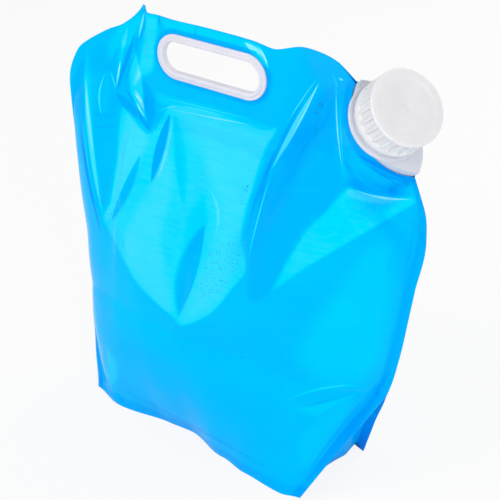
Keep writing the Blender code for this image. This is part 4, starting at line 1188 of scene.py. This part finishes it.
def panel_marks(s, t, x, z, tone):
    """The tone of a panel with its seals: the foot, the sides and legs, round the ring and at the spout."""
    side = ease((strip_across * SIDE_SPREAD - np.minimum(s, 1 - s)) / (strip_across * SIDE_BLUR))
    foot = ease((strip_up * FOOT_SPREAD - t) / (strip_up * FOOT_BLUR))
    round_ring = ease((RING_FACE + RING_SPREAD - ring_offset(x, z)) / RING_BLUR)
    along, inwards = from_seam(x, z)
    weld = ease((WELD_HEIGHT - inwards) / WELD_BLUR)
    weld = weld * ease((seam_half + WELD_SPREAD - np.abs(along)) / WELD_END_BLUR)
    below = ease((SPLIT_SHARE - t) / LEG_BLUR)
    tone = tone * (1 - np.maximum.reduce([foot, round_ring, weld]))
    tone = tone - FOOT_TONE * foot - RING_TONE * round_ring - WELD_TONE * weld
    tone = tone - side * SIDE_TONE * (1 + below)
    bare = BARE_SHARE * ease(1 - s / BARE_WIDTH)
    return {"tone": np.clip(tone, -TONE_LIMIT, TONE_LIMIT), "bare_edge": bare}


print("seal strips", round(strip_across, 4), "of the width and", round(strip_up, 4), "of the height")

# %% Places on a panel
FURTHEST_CELLS = 2.0


def on_panel(grid, points):
    """The places on a gridded panel that fall on points of the picture, and the panel's normals there."""
    across, down = picture_place(grid)
    normals = grid_normals(grid)
    places, facing = [], []
    for target in points:
        distance = (across - target[0]) ** 2 + (down - target[1]) ** 2
        row, column = np.unravel_index(np.argmin(distance), distance.shape)
        row = min(max(row, 1), grid.shape[0] - 2)
        column = min(max(column, 1), grid.shape[1] - 2)
        here = np.array([across[row, column], down[row, column]])
        step_s = np.array([across[row, column + 1], down[row, column + 1]]) - here
        step_t = np.array([across[row + 1, column], down[row + 1, column]]) - here
        share = np.linalg.solve(np.stack([step_s, step_t], axis=-1), np.array(target) - here)
        share = np.clip(share, -FURTHEST_CELLS, FURTHEST_CELLS)
        place = grid[row, column] + share[0] * (grid[row, column + 1] - grid[row, column])
        places.append(place + share[1] * (grid[row + 1, column] - grid[row, column]))
        facing.append(normals[row, column])
    return np.array(places), np.array(facing)


def leaf_values(grid, row):
    """The inputs of one leaf's node, from its row. A leaf lies square to the photograph's line of sight."""
    (start, end, first, second), _ = on_panel(grid, row[:4])
    sight = np.array(camera_place) - (start + end) / 2
    sight = sight / np.linalg.norm(sight)
    run = end - start
    run = run - (run @ sight) * sight
    length = np.linalg.norm(run)
    side = np.cross(sight, run) / length
    bows = []
    for point, soft in ((first, row[4]), (second, row[5])):
        share = (point - start) @ run / length ** 2
        bows.append(((point - start) @ side / (share * (1 - share)), 1 / (soft * PIXEL_SPAN)))
    low, high = sorted(bows)
    return {
        "Start": tuple(start), "Along": tuple(run / length ** 2), "Across": tuple(side), "Weight": row[6],
        "Low bow": low[0], "High bow": high[0], "Low sharpness": low[1], "High sharpness": high[1],
    }


print("a leaf's softest edge is", round(max(max(row[4:6]) for row in PAINTED_LIGHT_LINES) * PIXEL_SPAN, 4), "wide")


# %% Front and back panels
HOLE_CUT = 0.0040
FULL_BODY = 0.010
# columns and rows of the grid, height of the waves in millimetres, and the seed of their draw
FRONT_PLAN = ((212, 230), 0.45, 3)
BACK_PLAN = ((132, 146), 1.1, 8)
BACK_TONE, BACK_TONE_SEED = 0.45, 15


def panel_grid(front, size, wave_mm, seed):
    """A panel's inner face with its creases, the cells kept round the hand hole, and where its points lie."""
    s, t = np.meshgrid(np.linspace(0.0, 1.0, size[0]), np.linspace(0.0, 1.0, size[1]))
    picture = picture_place(panel_surface(s, t, True))
    place = laid_out(s, t)
    x, z = place[..., 0], place[..., 1]
    free = free_share(x, z)
    shared = sum(crease(*picture, *row) for row in HEADER_CREASES) * MM * free
    raised = wave_mm * MM * soft_waves(x, z, seed)
    if front:
        raised = raised + sum(crease(*picture, *row) for row in FRONT_CREASES) * MM * free
    body = np.clip(stand_off(s, t, x, z, front) / FULL_BODY, 0.0, 1.0)
    grid = panel_surface(s, t, front, raised * body, shared)
    keep = ring_offset((x[:-1, :-1] + x[1:, 1:]) / 2, (z[:-1, :-1] + z[1:, 1:]) / 2) > HOLE_CUT
    return grid, keep, (s, t, x, z), picture


front_grid, keep, where, picture = panel_grid(True, *FRONT_PLAN)
# the front panel's painted light and shade; its seals are added by panel_marks
tone = sum(level * patch(*picture, corners, soft, *rest) for corners, level, soft, *rest in PAINTED_LIGHT_PATCHES)
# the painted lines of light and shade, set into the front panel's own material
front_painted_lines = [leaf_values(front_grid, row) for row in PAINTED_LIGHT_LINES]
front_finish = film_material("blue_film_front", FILM_RIPPLE, front_painted_lines)
front_film = closed_sheet("front_panel", front_grid, keep, 1, front_finish, panel_marks(*where, tone))

back_grid, keep, where, _ = panel_grid(False, *BACK_PLAN)
tone = BACK_TONE * soft_waves(where[2], where[3], BACK_TONE_SEED)
back_film = closed_sheet("back_panel", back_grid, keep, -1, film_finish, panel_marks(*where, tone))
print("front panel", len(front_film.data.polygons), "faces, back panel", len(back_film.data.polygons))

# %% [markdown]
# ## The folded base
#
# The third panel is sealed inside the feet of the other two. From the strip along one foot it drops to
# the floor, crosses it, and rises to the other foot. At the split corners it slopes up to the point where
# the side seals start. It is one grid: each row runs from the front panel's edge to the back panel's
# edge.

# %% Base
LEG_STEPS, FOOT_STEPS = 26, 90
SAG_STEPS, FLOOR_STEPS = 8, 26
SAG_SHARE = 0.3
TUCK_RUN = 0.15
NARROW_RUNS = 3
BASE_TONE, BASE_FOLD_TONE, BASE_FOLD_SEED = 0.45, 0.35, 21
BASE_FOLD_SQUEEZE = 1.4
BASE_SEAL_TONE, BASE_SEAL_START = 0.3, 0.93
SAME_PLACE = 1e-6


def rim_path(steps_up, steps_along):
    """Shares along the strip's inner line and the panel's edge: down one leg, across, and up the other."""
    up = np.linspace(SPLIT_SHARE, strip_up, steps_up)
    along = np.linspace(strip_across, 1 - strip_across, steps_along)
    inner = [(strip_across, t) for t in up] + [(strip_across, strip_up)] * 2
    outer = [(0.0, t) for t in up] + [(0.0, 0.0), (strip_across, 0.0)]
    inner += [(s, strip_up) for s in along[1:-1]]
    outer += [(s, 0.0) for s in along[1:-1]]
    inner += [(1 - strip_across, strip_up)] * 2 + [(1 - strip_across, t) for t in up[::-1]]
    outer += [(1 - strip_across, 0.0), (1.0, 0.0)] + [(1.0, t) for t in up[::-1]]
    return np.array(inner), np.array(outer)


def seal_point(shares, front):
    """A point of the base's strip, just inside a panel's inner face."""
    s, t = shares[:, 0], shares[:, 1]
    place = laid_out(s, t)
    normal = middle_normal(place[:, 0], place[:, 1])
    side = -1.0 if front else 1.0
    return panel_surface(s, t, front) - side * normal * (SEAL_GAP + FILM / 2)


def base_tuck(s):
    """How far the base draws inwards, towards the middle of its width, half way between the legs."""
    from_end = np.minimum(s, 1 - s) - strip_across
    return BASE_TUCK * ease(1 - from_end / TUCK_RUN) * np.where(s < 1 - s, 1.0, -1.0)


def base_grid():
    """The base as a grid, from the front panel's edge across the floor to the back panel's edge."""
    inner, outer = rim_path(LEG_STEPS, FOOT_STEPS)
    front_in, back_in = seal_point(inner, True), seal_point(inner, False)
    front_out, back_out = seal_point(outer, True), seal_point(outer, False)
    span = np.linalg.norm(back_in - front_in, axis=1)
    run = np.minimum(SAG_SHARE, BASE_SAG_RUN / span)
    narrow = np.minimum(1.0, span / (NARROW_RUNS * BASE_SAG_RUN))
    flat = inner[:, 1] <= strip_up + TINY
    drop = np.where(flat, front_in[:, 2] - FILM / 2, (SEAL_STRIP - FILM / 2) * narrow)
    edge = [run * share for share in np.linspace(0.0, 1.0, SAG_STEPS)]
    centre = [run + (1 - 2 * run) * share for share in np.linspace(0.0, 1.0, FLOOR_STEPS)[1:-1]]
    columns = [front_out, (front_out + front_in) / 2]
    for share in edge + centre + [1 - share for share in edge[::-1]]:
        place = front_in + (back_in - front_in) * share[:, None]
        place[:, 2] -= drop * ease(np.minimum(share, 1 - share) / run)
        place[:, 0] += base_tuck(inner[:, 0]) * narrow * 4 * share * (1 - share)
        columns.append(place)
    columns += [(back_out + back_in) / 2, back_out]
    return np.stack(columns, axis=1)


grid = base_grid()
width_share = np.abs(np.linspace(-1.0, 1.0, grid.shape[1]))[None, :] * np.ones(grid.shape[:2])
folds = BASE_FOLD_TONE * soft_waves(grid[..., 0], grid[..., 1] * BASE_FOLD_SQUEEZE, BASE_FOLD_SEED)
tone = folds - BASE_TONE - BASE_SEAL_TONE * (width_share > BASE_SEAL_START)
marks = {"tone": tone, "bare_edge": np.zeros(grid.shape[:2])}
keep = np.ones((grid.shape[0] - 1, grid.shape[1] - 1), dtype=bool)
base_panel = closed_sheet("base_panel", grid, keep, 1, base_finish, marks)
through_bmesh(base_panel, merge_doubles(SAME_PLACE))
print("base panel", len(base_panel.data.polygons), "faces")

# %% [markdown]
# ## The snap ring
#
# Two moulded halves clip together through the hand hole. One profile is carried round the hole's outline.
# The front half has a rounded outer edge, a step half way across its face, and a rounded lip into the
# hole, and its sleeve goes through the film. The back half sits round that sleeve.

# %% Ring
RING_THICKNESS = 0.0022
RING_STEP = 0.0006
SLEEVE_WALL = 0.0020
LIP_ROUND = 0.0012
RING_ROUND = 0.0009
SLEEVE_ROUND = 0.0006
ARC_STEPS = 28
# the slope from the lip down to the step in the face: offset from the hole, and how far below the face
FACE_SLOPE = ((0.0026, 0.0), (0.0029, 0.0002), (0.0031, RING_STEP))
ring_seat = SEAL_GAP / 2 + FILM + FIT_GAP
ring_outside = ring_seat + RING_THICKNESS
sleeve_end = ring_outside - RING_STEP


def loop_faces(loops, count, closed=False):
    """Faces between loops of count points each. An open row of loops gets a face over each end."""
    faces = [] if closed else [tuple(range(count)), tuple((loops - 1) * count + i for i in range(count))]
    for level in range(loops if closed else loops - 1):
        low, high = level * count, (level + 1) % loops * count
        faces += [(low + i, low + (i + 1) % count, high + (i + 1) % count, high + i) for i in range(count)]
    return faces


def arc(centre, radius, start_deg, end_deg, steps=5):
    """Points of an arc in a profile."""
    angles = np.radians(np.linspace(start_deg, end_deg, steps))
    return [(centre[0] + radius * math.cos(a), centre[1] + radius * math.sin(a)) for a in angles]


def ring_path(offset):
    """The hand hole's outline at an offset, as points of X and Z."""
    straight = (HOLE_LENGTH - HOLE_HEIGHT) / 2
    radius = HOLE_HEIGHT / 2 + offset
    path = []
    for side in (0, 1):
        for step in range(ARC_STEPS + 1):
            angle = math.pi * (step / ARC_STEPS + side - 0.5)
            along, above = straight * (1 - 2 * side) + radius * math.cos(angle), radius * math.sin(angle)
            path.append((
                RING_X + along * math.cos(RING_TILT) - above * math.sin(RING_TILT),
                RING_Z + along * math.sin(RING_TILT) + above * math.cos(RING_TILT),
            ))
    return path


def carried_round(name, profile, finish):
    """A closed profile of offset and Y carried round the hand hole."""
    points = [(x, y, z) for offset, y in profile for x, z in ring_path(offset)]
    faces = loop_faces(len(profile), 2 * (ARC_STEPS + 1), closed=True)
    made = mesh_object(name, points, faces, finish, RING_SHARP_DEG)
    through_bmesh(made, outward_normals)
    return made


face = -ring_outside
front_profile = (
    [(0.0, sleeve_end)]
    + arc((LIP_ROUND, face + LIP_ROUND), LIP_ROUND, 180, 270)
    + [(offset, face + below) for offset, below in FACE_SLOPE]
    + arc((RING_FACE - RING_ROUND, face + RING_STEP + RING_ROUND), RING_ROUND, 270, 360)
    + [(RING_FACE, -ring_seat), (SLEEVE_WALL, -ring_seat), (SLEEVE_WALL, sleeve_end)]
)
back_profile = (
    [(SLEEVE_WALL + FIT_GAP, ring_seat), (RING_FACE, ring_seat)]
    + arc((RING_FACE - RING_ROUND, ring_outside - RING_ROUND), RING_ROUND, 0, 90)
    + arc((SLEEVE_WALL + FIT_GAP + SLEEVE_ROUND, ring_outside - SLEEVE_ROUND), SLEEVE_ROUND, 90, 180)
)
front_ring = carried_round("ring_front", front_profile, ring_finish)
back_ring = carried_round("ring_back", back_profile, ring_finish)
print("ring", len(front_ring.data.polygons) + len(back_ring.data.polygons), "faces")

# %% [markdown]
# ## The spout
#
# The fitment is one moulding: a boat that the film is welded to, a wide flange, a collar and a threaded
# neck. The turned parts come from one profile. The thread is a ridge that climbs round the neck, joined
# to it by a boolean, because a real thread has no gap at its root.

# %% Spout sizes
BOAT_RISE = 0.0055
BOAT_STEPS = 36
BOAT_RIB = 0.0004
BOAT_RIBS = 3
FLANGE_RADIUS = 0.0275
FLANGE_THICKNESS = 0.0025
FLANGE_FILLET = 0.0008
COLLAR_RADIUS = 0.0245
COLLAR_HEIGHT = 0.0042
NECK_RADIUS = 0.0200
BORE_RADIUS = 0.0172
BORE_OVERRUN = 0.004
NECK_HEIGHT = 0.0170
THREAD_PITCH = 0.005
THREAD_DEPTH = 0.0012
THREAD_PLAY = 0.0006
THREAD_BITE = 0.0005
THREAD_LEAD_IN = 0.0035
THREAD_ROOT = 0.21
THREAD_CREST = 0.08
THREAD_FADE = 0.12
THREAD_STEPS = 72
NECK_TURNS = 2.3
CAP_TURNS = 2.1
CAP_START = -0.4
ROUND_STEPS = 120
flange_low = BOAT_RISE
flange_high = flange_low + FLANGE_THICKNESS
collar_high = flange_high + COLLAR_HEIGHT
neck_high = collar_high + NECK_HEIGHT
thread_start = collar_high + THREAD_LEAD_IN
print("the neck ends", round(1000 * neck_high, 1), "mm above the seam")

# %% Turned pieces and threads


def turned(profile, steps=ROUND_STEPS):
    """Points and faces of a profile of radius and height turned round Z. A radius of zero is a pole."""
    points, rings = [], []
    for radius, height in profile:
        if radius == 0:
            points.append((0.0, 0.0, height))
            rings.append([len(points) - 1] * steps)
            continue
        rings.append(list(range(len(points), len(points) + steps)))
        for step in range(steps):
            angle = 2 * math.pi * step / steps
            points.append((radius * math.cos(angle), radius * math.sin(angle), height))
    faces = []
    for first, second in zip(rings, rings[1:]):
        for step in range(steps):
            after = (step + 1) % steps
            faces.append(tuple(dict.fromkeys((first[step], first[after], second[after], second[step]))))
    return points, faces


def thread_ridge(wall, inwards, start_turn, turns, lift=0.0):
    """A helical ridge with sloping flanks, faded out at both ends."""
    count = int(round(turns * THREAD_STEPS))
    side = -1.0 if inwards else 1.0
    root = wall - side * THREAD_BITE
    points = []
    for step in range(count + 1):
        turn = start_turn + turns * step / count
        fade = float(ease(min(step, count - step) / (count * THREAD_FADE)))
        crest = wall + side * THREAD_DEPTH * fade
        height = thread_start + THREAD_PITCH * turn + lift
        angle = 2 * math.pi * turn
        section = [(root, -THREAD_ROOT), (crest, -THREAD_CREST), (crest, THREAD_CREST), (root, THREAD_ROOT)]
        for radius, off in section:
            points.append((radius * math.cos(angle), radius * math.sin(angle), height + off * THREAD_PITCH))
    return points, loop_faces(count + 1, 4)


print("a thread climbs", THREAD_PITCH, "in", THREAD_STEPS, "steps")

# %% Pieces of the spout and the cap


def placed(name, shape, finish, matrix=neck_frame):
    """A piece made in the spout's own frame, moved there in its mesh, with its normals outwards."""
    made = mesh_object(name, *shape, finish, PART_SHARP_DEG)
    made.data.transform(matrix)
    through_bmesh(made, outward_normals)
    return made


def boolean(target, tool, operation):
    """Apply one exact boolean, and remove the tool."""
    modifier = target.modifiers.new(tool.name, "BOOLEAN")
    modifier.operation = operation
    modifier.solver = "EXACT"
    modifier.object = tool
    graph = bpy.context.evaluated_depsgraph_get()
    mesh = bpy.data.meshes.new_from_object(target.evaluated_get(graph))
    target.modifiers.clear()
    old = target.data
    target.data = mesh
    mesh.name = target.name
    bpy.data.meshes.remove(old)
    bpy.data.objects.remove(tool, do_unlink=True)


def refine(piece):
    """Merge what a boolean left double and shade the piece again."""
    through_bmesh(piece, merge_doubles(2 * SAME_PLACE))
    shade(piece.data, PART_SHARP_DEG)


print("pieces of the spout are sharp from", PART_SHARP_DEG, "degrees")

# %% Spout


def boat_shape():
    """The boat: a lens-shaped block with shallow weld ribs, rounded a little at its two tips."""
    levels = [(-WELD_HEIGHT, BOAT_RIB)]
    rib = WELD_HEIGHT / (2 * BOAT_RIBS)
    for index in range(BOAT_RIBS):
        low = -WELD_HEIGHT + 2 * rib * index
        levels += [(low + rib / 2, 0.0), (low + rib * 1.5, 0.0), (low + rib * 2, BOAT_RIB)]
    levels += [(flange_low / 2, 0.0), (flange_low + FLANGE_THICKNESS / 2, 0.0)]
    outline = []
    for side in (1, -1):
        for step in range(BOAT_STEPS):
            along = BOAT_LENGTH * (step / BOAT_STEPS - 0.5) * side
            outline.append((along, side * max(0.0, float(boat_half(along)))))
    points = []
    for height, shrink in levels:
        kept, kept_along = 1 - shrink / (BOAT_THICKNESS / 2), 1 - shrink / (BOAT_LENGTH / 2)
        points += [(along * kept_along, half * kept, height) for along, half in outline]
    return points, loop_faces(len(levels), len(outline))


def fillet(radius, height, start_deg, end_deg):
    """A rounded corner of the spout's profile."""
    return arc((radius, height), FLANGE_FILLET, start_deg, end_deg, 4)


spout_profile = (
    [(0, flange_low - THREAD_BITE), (BORE_RADIUS, flange_low - THREAD_BITE)]
    + fillet(FLANGE_RADIUS - FLANGE_FILLET, flange_low + FLANGE_FILLET, -90, 0)
    + fillet(FLANGE_RADIUS - FLANGE_FILLET, flange_high - FLANGE_FILLET, 0, 90)
    + [(COLLAR_RADIUS, flange_high)]
    + fillet(COLLAR_RADIUS - FLANGE_FILLET, collar_high - FLANGE_FILLET, 0, 90)
    + [(NECK_RADIUS, collar_high)]
    + fillet(NECK_RADIUS - FLANGE_FILLET, neck_high - FLANGE_FILLET, 0, 90)
    + [(0, neck_high)]
)
bore_low, bore_high = -WELD_HEIGHT - BORE_OVERRUN, neck_high + BORE_OVERRUN
bore = [(0, bore_low), (BORE_RADIUS, bore_low), (BORE_RADIUS, bore_high), (0, bore_high)]
neck_thread = thread_ridge(NECK_RADIUS, False, 0.0, NECK_TURNS)
spout = placed("spout_fitment", turned(spout_profile), spout_finish)
boolean(spout, placed("boat", boat_shape(), spout_finish, boat_frame), "UNION")
boolean(spout, placed("neck_thread", neck_thread, spout_finish), "UNION")
boolean(spout, placed("bore", turned(bore), spout_finish), "DIFFERENCE")
refine(spout)
print("spout", len(spout.data.polygons), "faces")

# %% [markdown]
# ## The cap
#
# The cap's skirt has twenty-four grips. Each is an upright rib between two shallow recesses. They repeat
# round an axis, which is what Geometry Nodes are for: one rib is made once, and the tree places a copy at
# every step of the turn. The tree ends in real geometry with its material set.

# %% Cap sizes
CAP_RADIUS = 0.026
CAP_FACE = 0.0032
CAP_EDGE = 0.0010
CAP_BEVEL = 0.0004
CAP_GAP = 0.0006
CAP_STEPS = 144
DISH_RADIUS = 0.0205
DISH_DEPTH = 0.0008
DIMPLE_RADIUS = 0.0028
DIMPLE_DEPTH = 0.0006
GRIP_COUNT = 24
GRIP_DEPTH = 0.0011
GRIP_LOW = 0.0050
GRIP_RIM = 0.0016
# the recess of the grips: the fall under its rim, and the two bends of its foot as depth left and height
RECESS_FALL = 0.0001
RECESS_BENDS = ((0.0, 0.0014), (0.0003, 0.0006))
LINER_THICKNESS = 0.0014
# shares of the radius and the depth, from the middle outwards
DIMPLE_SHARES = ((0, 1), (0.45, 1), (0.8, 0.6), (1, 0.12), (1.25, 0))
DISH_SHARES = ((0.3, 0.03), (0.5, 0.05), (0.7, 0.07), (0.85, 0.085), (0.94, 0.35), (1, 0.8), (1.04, 1))
cap_low = collar_high + CAP_GAP
liner_low = neck_high + FIT_GAP
liner_high = liner_low + LINER_THICKNESS
cap_ceiling = liner_high + FIT_GAP
cap_high = cap_ceiling + CAP_FACE
cap_bore = NECK_RADIUS + THREAD_DEPTH + THREAD_PLAY
recess_radius = CAP_RADIUS - GRIP_DEPTH
recess_low, recess_high = cap_low + GRIP_LOW, cap_high - GRIP_RIM
print("the cap is", round(1000 * (cap_high - cap_low), 1), "mm high")

# %% Cap body
dish = cap_high - DISH_DEPTH
cap_profile = (
    [(DIMPLE_RADIUS * across, dish - DIMPLE_DEPTH * deep) for across, deep in DIMPLE_SHARES]
    + [(DISH_RADIUS * across, dish + DISH_DEPTH * up) for across, up in DISH_SHARES]
    + arc((CAP_RADIUS - CAP_EDGE, cap_high - CAP_EDGE), CAP_EDGE, 90, 0, 4)
    + [(CAP_RADIUS, recess_high), (recess_radius, recess_high - RECESS_FALL)]
    + [(recess_radius + out, recess_low + up) for out, up in RECESS_BENDS]
    + [(CAP_RADIUS - CAP_BEVEL / 2, recess_low), (CAP_RADIUS, recess_low - CAP_BEVEL)]
    + [(CAP_RADIUS, cap_low + CAP_BEVEL), (CAP_RADIUS - CAP_BEVEL, cap_low), (cap_bore, cap_low)]
    + [(cap_bore, cap_ceiling), (0, cap_ceiling)]
)
cap_thread = thread_ridge(cap_bore, True, CAP_START, CAP_TURNS, THREAD_PITCH / 2)
cap = placed("cap_body", turned(cap_profile, CAP_STEPS), cap_finish)
boolean(cap, placed("cap_thread", cap_thread, cap_finish), "UNION")
refine(cap)
print("cap", len(cap.data.polygons), "faces")

# %% Copies with Geometry Nodes
SHAPE, FINISH = ("Geometry", "Geometry"), ("Finish", "Material")
RIB_SHARE = 0.36
RIB_ROUND = 0.0004
RIB_SINK = 0.0004
RIB_BELOW, RIB_ABOVE = 0.0003, 0.0002
RIB_INSET = 0.0001
# a rib's section as shares of half its width, and its taper from foot to top
RIB_FLAT, RIB_SHOULDER, RIB_ROOT = 0.62, 1.0, 1.15
RIB_FOOT, RIB_TOP = (0.0006, 1.0), (0.0010, 0.97)
RIB_END = 0.95


def copies(tree, start, end, points, shape, inputs):
    """The last nodes of a tree: a copy of the shape on each point, made real, with its material."""
    inputs = {"Points": points, "Instance": shape, **inputs}
    turned_copies = add_node(tree, "GeometryNodeInstanceOnPoints", inputs)
    real = add_node(tree, "GeometryNodeRealizeInstances", {0: turned_copies.outputs[0]})
    paint = {"Geometry": real.outputs[0], "Material": start["Finish"]}
    fill(tree, end, {0: add_node(tree, "GeometryNodeSetMaterial", paint).outputs[0]})


def from_nodes(name, tree, values, base=None):
    """Run a tree on an empty mesh or on base, and keep the result as a plain mesh object."""
    host = linked_object(f"{name}_host", base or bpy.data.meshes.new(f"{name}_start"))
    modifier = host.modifiers.new(name, "NODES")
    modifier.node_group = tree
    sockets = {item.name: item.identifier for item in tree.interface.items_tree if item.in_out == "INPUT"}
    for label, value in values.items():
        modifier[sockets[label]] = value
    bpy.context.view_layer.update()
    made = bpy.data.meshes.new_from_object(host.evaluated_get(bpy.context.evaluated_depsgraph_get()))
    bpy.data.objects.remove(host, do_unlink=True)
    made.name = name
    return linked_object(name, made)


def rib_shape():
    """One grip rib at angle zero: a tapered bar with rounded edges, sunk a little into the skirt."""
    half = math.pi * CAP_RADIUS / GRIP_COUNT * RIB_SHARE
    low, high = recess_low - RIB_BELOW, recess_high + RIB_ABOVE
    crest, root = CAP_RADIUS - RIB_INSET, recess_radius - RIB_SINK
    left = ((-RIB_ROOT, root), (-RIB_SHOULDER, crest - RIB_ROUND), (-RIB_FLAT, crest))
    section = left + tuple((-across, radius) for across, radius in left[::-1])
    rows = ((low, 1.0), (low + RIB_FOOT[0], RIB_FOOT[1]), (high - RIB_TOP[0], RIB_TOP[1]), (high, RIB_END))
    points = [(radius, across * half * wide, height) for height, wide in rows for across, radius in section]
    return points, loop_faces(len(rows), len(section))


def grips_tree():
    """A tree that turns copies of one rib round Z. Its inputs are the rib, the count and the material."""
    sockets = [SHAPE, ("Rib", "Object"), ("Count", "Int", GRIP_COUNT), FINISH]
    tree, start, end = new_group("turned_copies", "GeometryNodeTree", sockets, [SHAPE])
    rib = add_node(tree, "GeometryNodeObjectInfo", {"Object": start["Rib"]})
    seats = add_node(tree, "GeometryNodeMeshLine", {"Count": start["Count"], "Offset": (0.0, 0.0, 0.0)})
    step = math_node(tree, "DIVIDE", 2 * math.pi, start["Count"])
    angle = math_node(tree, "MULTIPLY", add_node(tree, "GeometryNodeInputIndex").outputs[0], step)
    turn = add_node(tree, "ShaderNodeCombineXYZ", {"Z": angle}).outputs[0]
    copies(tree, start, end, seats.outputs["Mesh"], rib.outputs["Geometry"], {"Rotation": turn})
    return tree


rib = placed("grip_rib", rib_shape(), cap_finish, Matrix())
grips = from_nodes("cap_grips", grips_tree(), {"Rib": rib, "Count": GRIP_COUNT, "Finish": cap_finish})
bpy.data.objects.remove(rib, do_unlink=True)
grips.data.transform(neck_frame)
shade(grips.data, RING_SHARP_DEG)
print("grips", len(grips.data.polygons), "faces on", GRIP_COUNT, "ribs")

# %% [markdown]
# ## Droplets
#
# Three drops of water and a few fields of fine ones cling to the film. A fine drop is a flat dome. Of a
# large drop only the rim shows, a thin ring. The places are found on the panel from the picture, each
# with the panel's direction there and a size, and the tree sets one shape on each.

# %% Droplets with Geometry Nodes
# places in the picture and radii
BIG_DROPS = (((321.0, 105.0), 0.0013), ((316.5, 112.2), 0.0011), ((315.0, 129.0), 0.0012))
FINE_DROP = (0.00020, 0.00040)
FINE_FLATNESS = 0.4
RIM_WIRE = 0.17
RIM_STEPS, WIRE_STEPS = 28, 8
DROP_STANDS_OUT = 0.5
DROP_SEED = 12
# corners of a field in the picture, and how many drops it has
DROP_FIELDS = (
    (((206, 250), (243, 238), (242, 262), (224, 291), (199, 300)), 190),
    (((219, 341), (247, 338), (245, 360), (222, 364)), 30),
    (((96, 192), (110, 203), (128, 252), (122, 262), (106, 226)), 60),
    (((238, 196), (247, 180), (251, 186), (242, 206)), 16),
    (((362, 200), (392, 202), (376, 214)), 10),
)


def drop_places():
    """Where each fine drop sits in the picture, and its radius."""
    draw = np.random.default_rng(DROP_SEED)
    places, sizes = [], []
    for corners, count in DROP_FIELDS:
        line = np.array(corners, dtype=float)
        found = 0
        while found < count:
            place = draw.uniform(line.min(axis=0), line.max(axis=0))
            if patch(place[:1], place[1:], corners, 1.0, False)[0] > draw.uniform(0.0, 1.0):
                places.append(tuple(place))
                sizes.append(draw.uniform(*FINE_DROP))
                found += 1
    return places, sizes


def drops_tree(name, rim):
    """A tree that sets a dome or a rim on each point, turned as the point faces and scaled to its size."""
    sockets = [SHAPE, ("Flatness", FLOAT, FINE_FLATNESS), FINISH]
    tree, start, end = new_group(name, "GeometryNodeTree", sockets, [SHAPE])
    if rim:
        curves = {}
        for label, steps, radius in (("Curve", RIM_STEPS, 1.0), ("Profile Curve", WIRE_STEPS, RIM_WIRE)):
            inputs = {"Resolution": steps, "Radius": radius}
            circle = add_node(tree, "GeometryNodeCurvePrimitiveCircle", inputs)
            curves[label] = circle.outputs["Curve"]
        drop = add_node(tree, "GeometryNodeCurveToMesh", curves)
    else:
        drop = add_node(tree, "GeometryNodeMeshIcoSphere", {"Radius": 1.0, "Subdivisions": 2})
    facing, size = (
        add_node(tree, "GeometryNodeInputNamedAttribute", {"Name": mark}, data_type=kind).outputs["Attribute"]
        for mark, kind in (("facing", "FLOAT_VECTOR"), ("size", "FLOAT"))
    )
    turn = add_node(tree, "FunctionNodeAlignRotationToVector", {"Vector": facing}, axis="Z").outputs[0]
    flat = math_node(tree, "MULTIPLY", size, start["Flatness"])
    stretch = add_node(tree, "ShaderNodeCombineXYZ", {"X": size, "Y": size, "Z": flat}).outputs[0]
    inputs = {"Rotation": turn, "Scale": stretch}
    copies(tree, start, end, start["Geometry"], drop.outputs["Mesh"], inputs)
    return tree


def water_on_film(name, places, sizes, flatness, rim=False):
    """Drops of the given sizes, sitting on the front panel at places of the picture."""
    points, facing = on_panel(front_grid, places)
    sizes = np.array(sizes)
    half = flatness * (RIM_WIRE if rim else 1.0) * sizes[:, None]
    points = points + facing * (FILM + DROP_STANDS_OUT * half)
    seats = bpy.data.meshes.new(f"{name}_seats")
    seats.from_pydata(points.tolist(), [], [])
    marks = (("facing", "FLOAT_VECTOR", "vector", facing), ("size", "FLOAT", "value", sizes))
    for label, kind, field, values in marks:
        attribute = seats.attributes.new(label, kind, "POINT")
        attribute.data.foreach_set(field, values.ravel().astype(np.float32))
    made = from_nodes(name, drops_tree(name, rim), {"Flatness": flatness, "Finish": drop_finish}, seats)
    made.data.shade_smooth()
    return made


drops = water_on_film("water_drops", *drop_places(), FINE_FLATNESS)
rims = water_on_film("water_rims", *zip(*BIG_DROPS), 1.0, rim=True)
print("drops", sum(count for _, count in DROP_FIELDS), "with", len(drops.data.polygons), "faces")

# %% [markdown]
# ## The liner
#
# A soft disc in the cap seals the neck's rim. It is hidden while the cap is on.

# %% Liner
liner_radius = NECK_RADIUS + THREAD_DEPTH / 2
liner_inner = BORE_RADIUS - THREAD_DEPTH
liner_profile = [
    (0, liner_low + LINER_THICKNESS / 3),
    (liner_inner, liner_low + LINER_THICKNESS / 3),
    (liner_inner + LINER_THICKNESS / 6, liner_low + LINER_THICKNESS / 8),
    (liner_inner + LINER_THICKNESS / 3, liner_low),
    (liner_radius, liner_low),
    (liner_radius, liner_high),
    (0, liner_high),
]
liner = placed("liner_disc", turned(liner_profile), liner_finish)
print("liner", len(liner.data.polygons), "faces")

# %% [markdown]
# ## Riding and replacing
#
# Every piece rides on the body that its node belongs to, and the imported part of that node is hidden. The
# film panels are sheets: the front and back are as wide and as high as the pouch, and the base is a shorter
# panel.

# %% Ride
for piece, node, body_name, slot_name in (
    (front_film, "front_film", "pouch", "film"),
    (back_film, "back_film", "pouch", "film"),
    (base_panel, "bottom_gusset", "pouch", "film"),
    (front_ring, "handle_ring_front", "pouch", "ring_plastic"),
    (back_ring, "handle_ring_back", "pouch", "ring_plastic"),
    (spout, "spout", "pouch", "spout_plastic"),
    (cap, "cap", "cap", "cap_plastic"),
    (liner, "cap_liner", "seal", "liner"),
):
    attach(piece, body_name)
    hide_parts(node)
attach(grips, "cap")
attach(drops, "pouch")
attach(rims, "pouch")
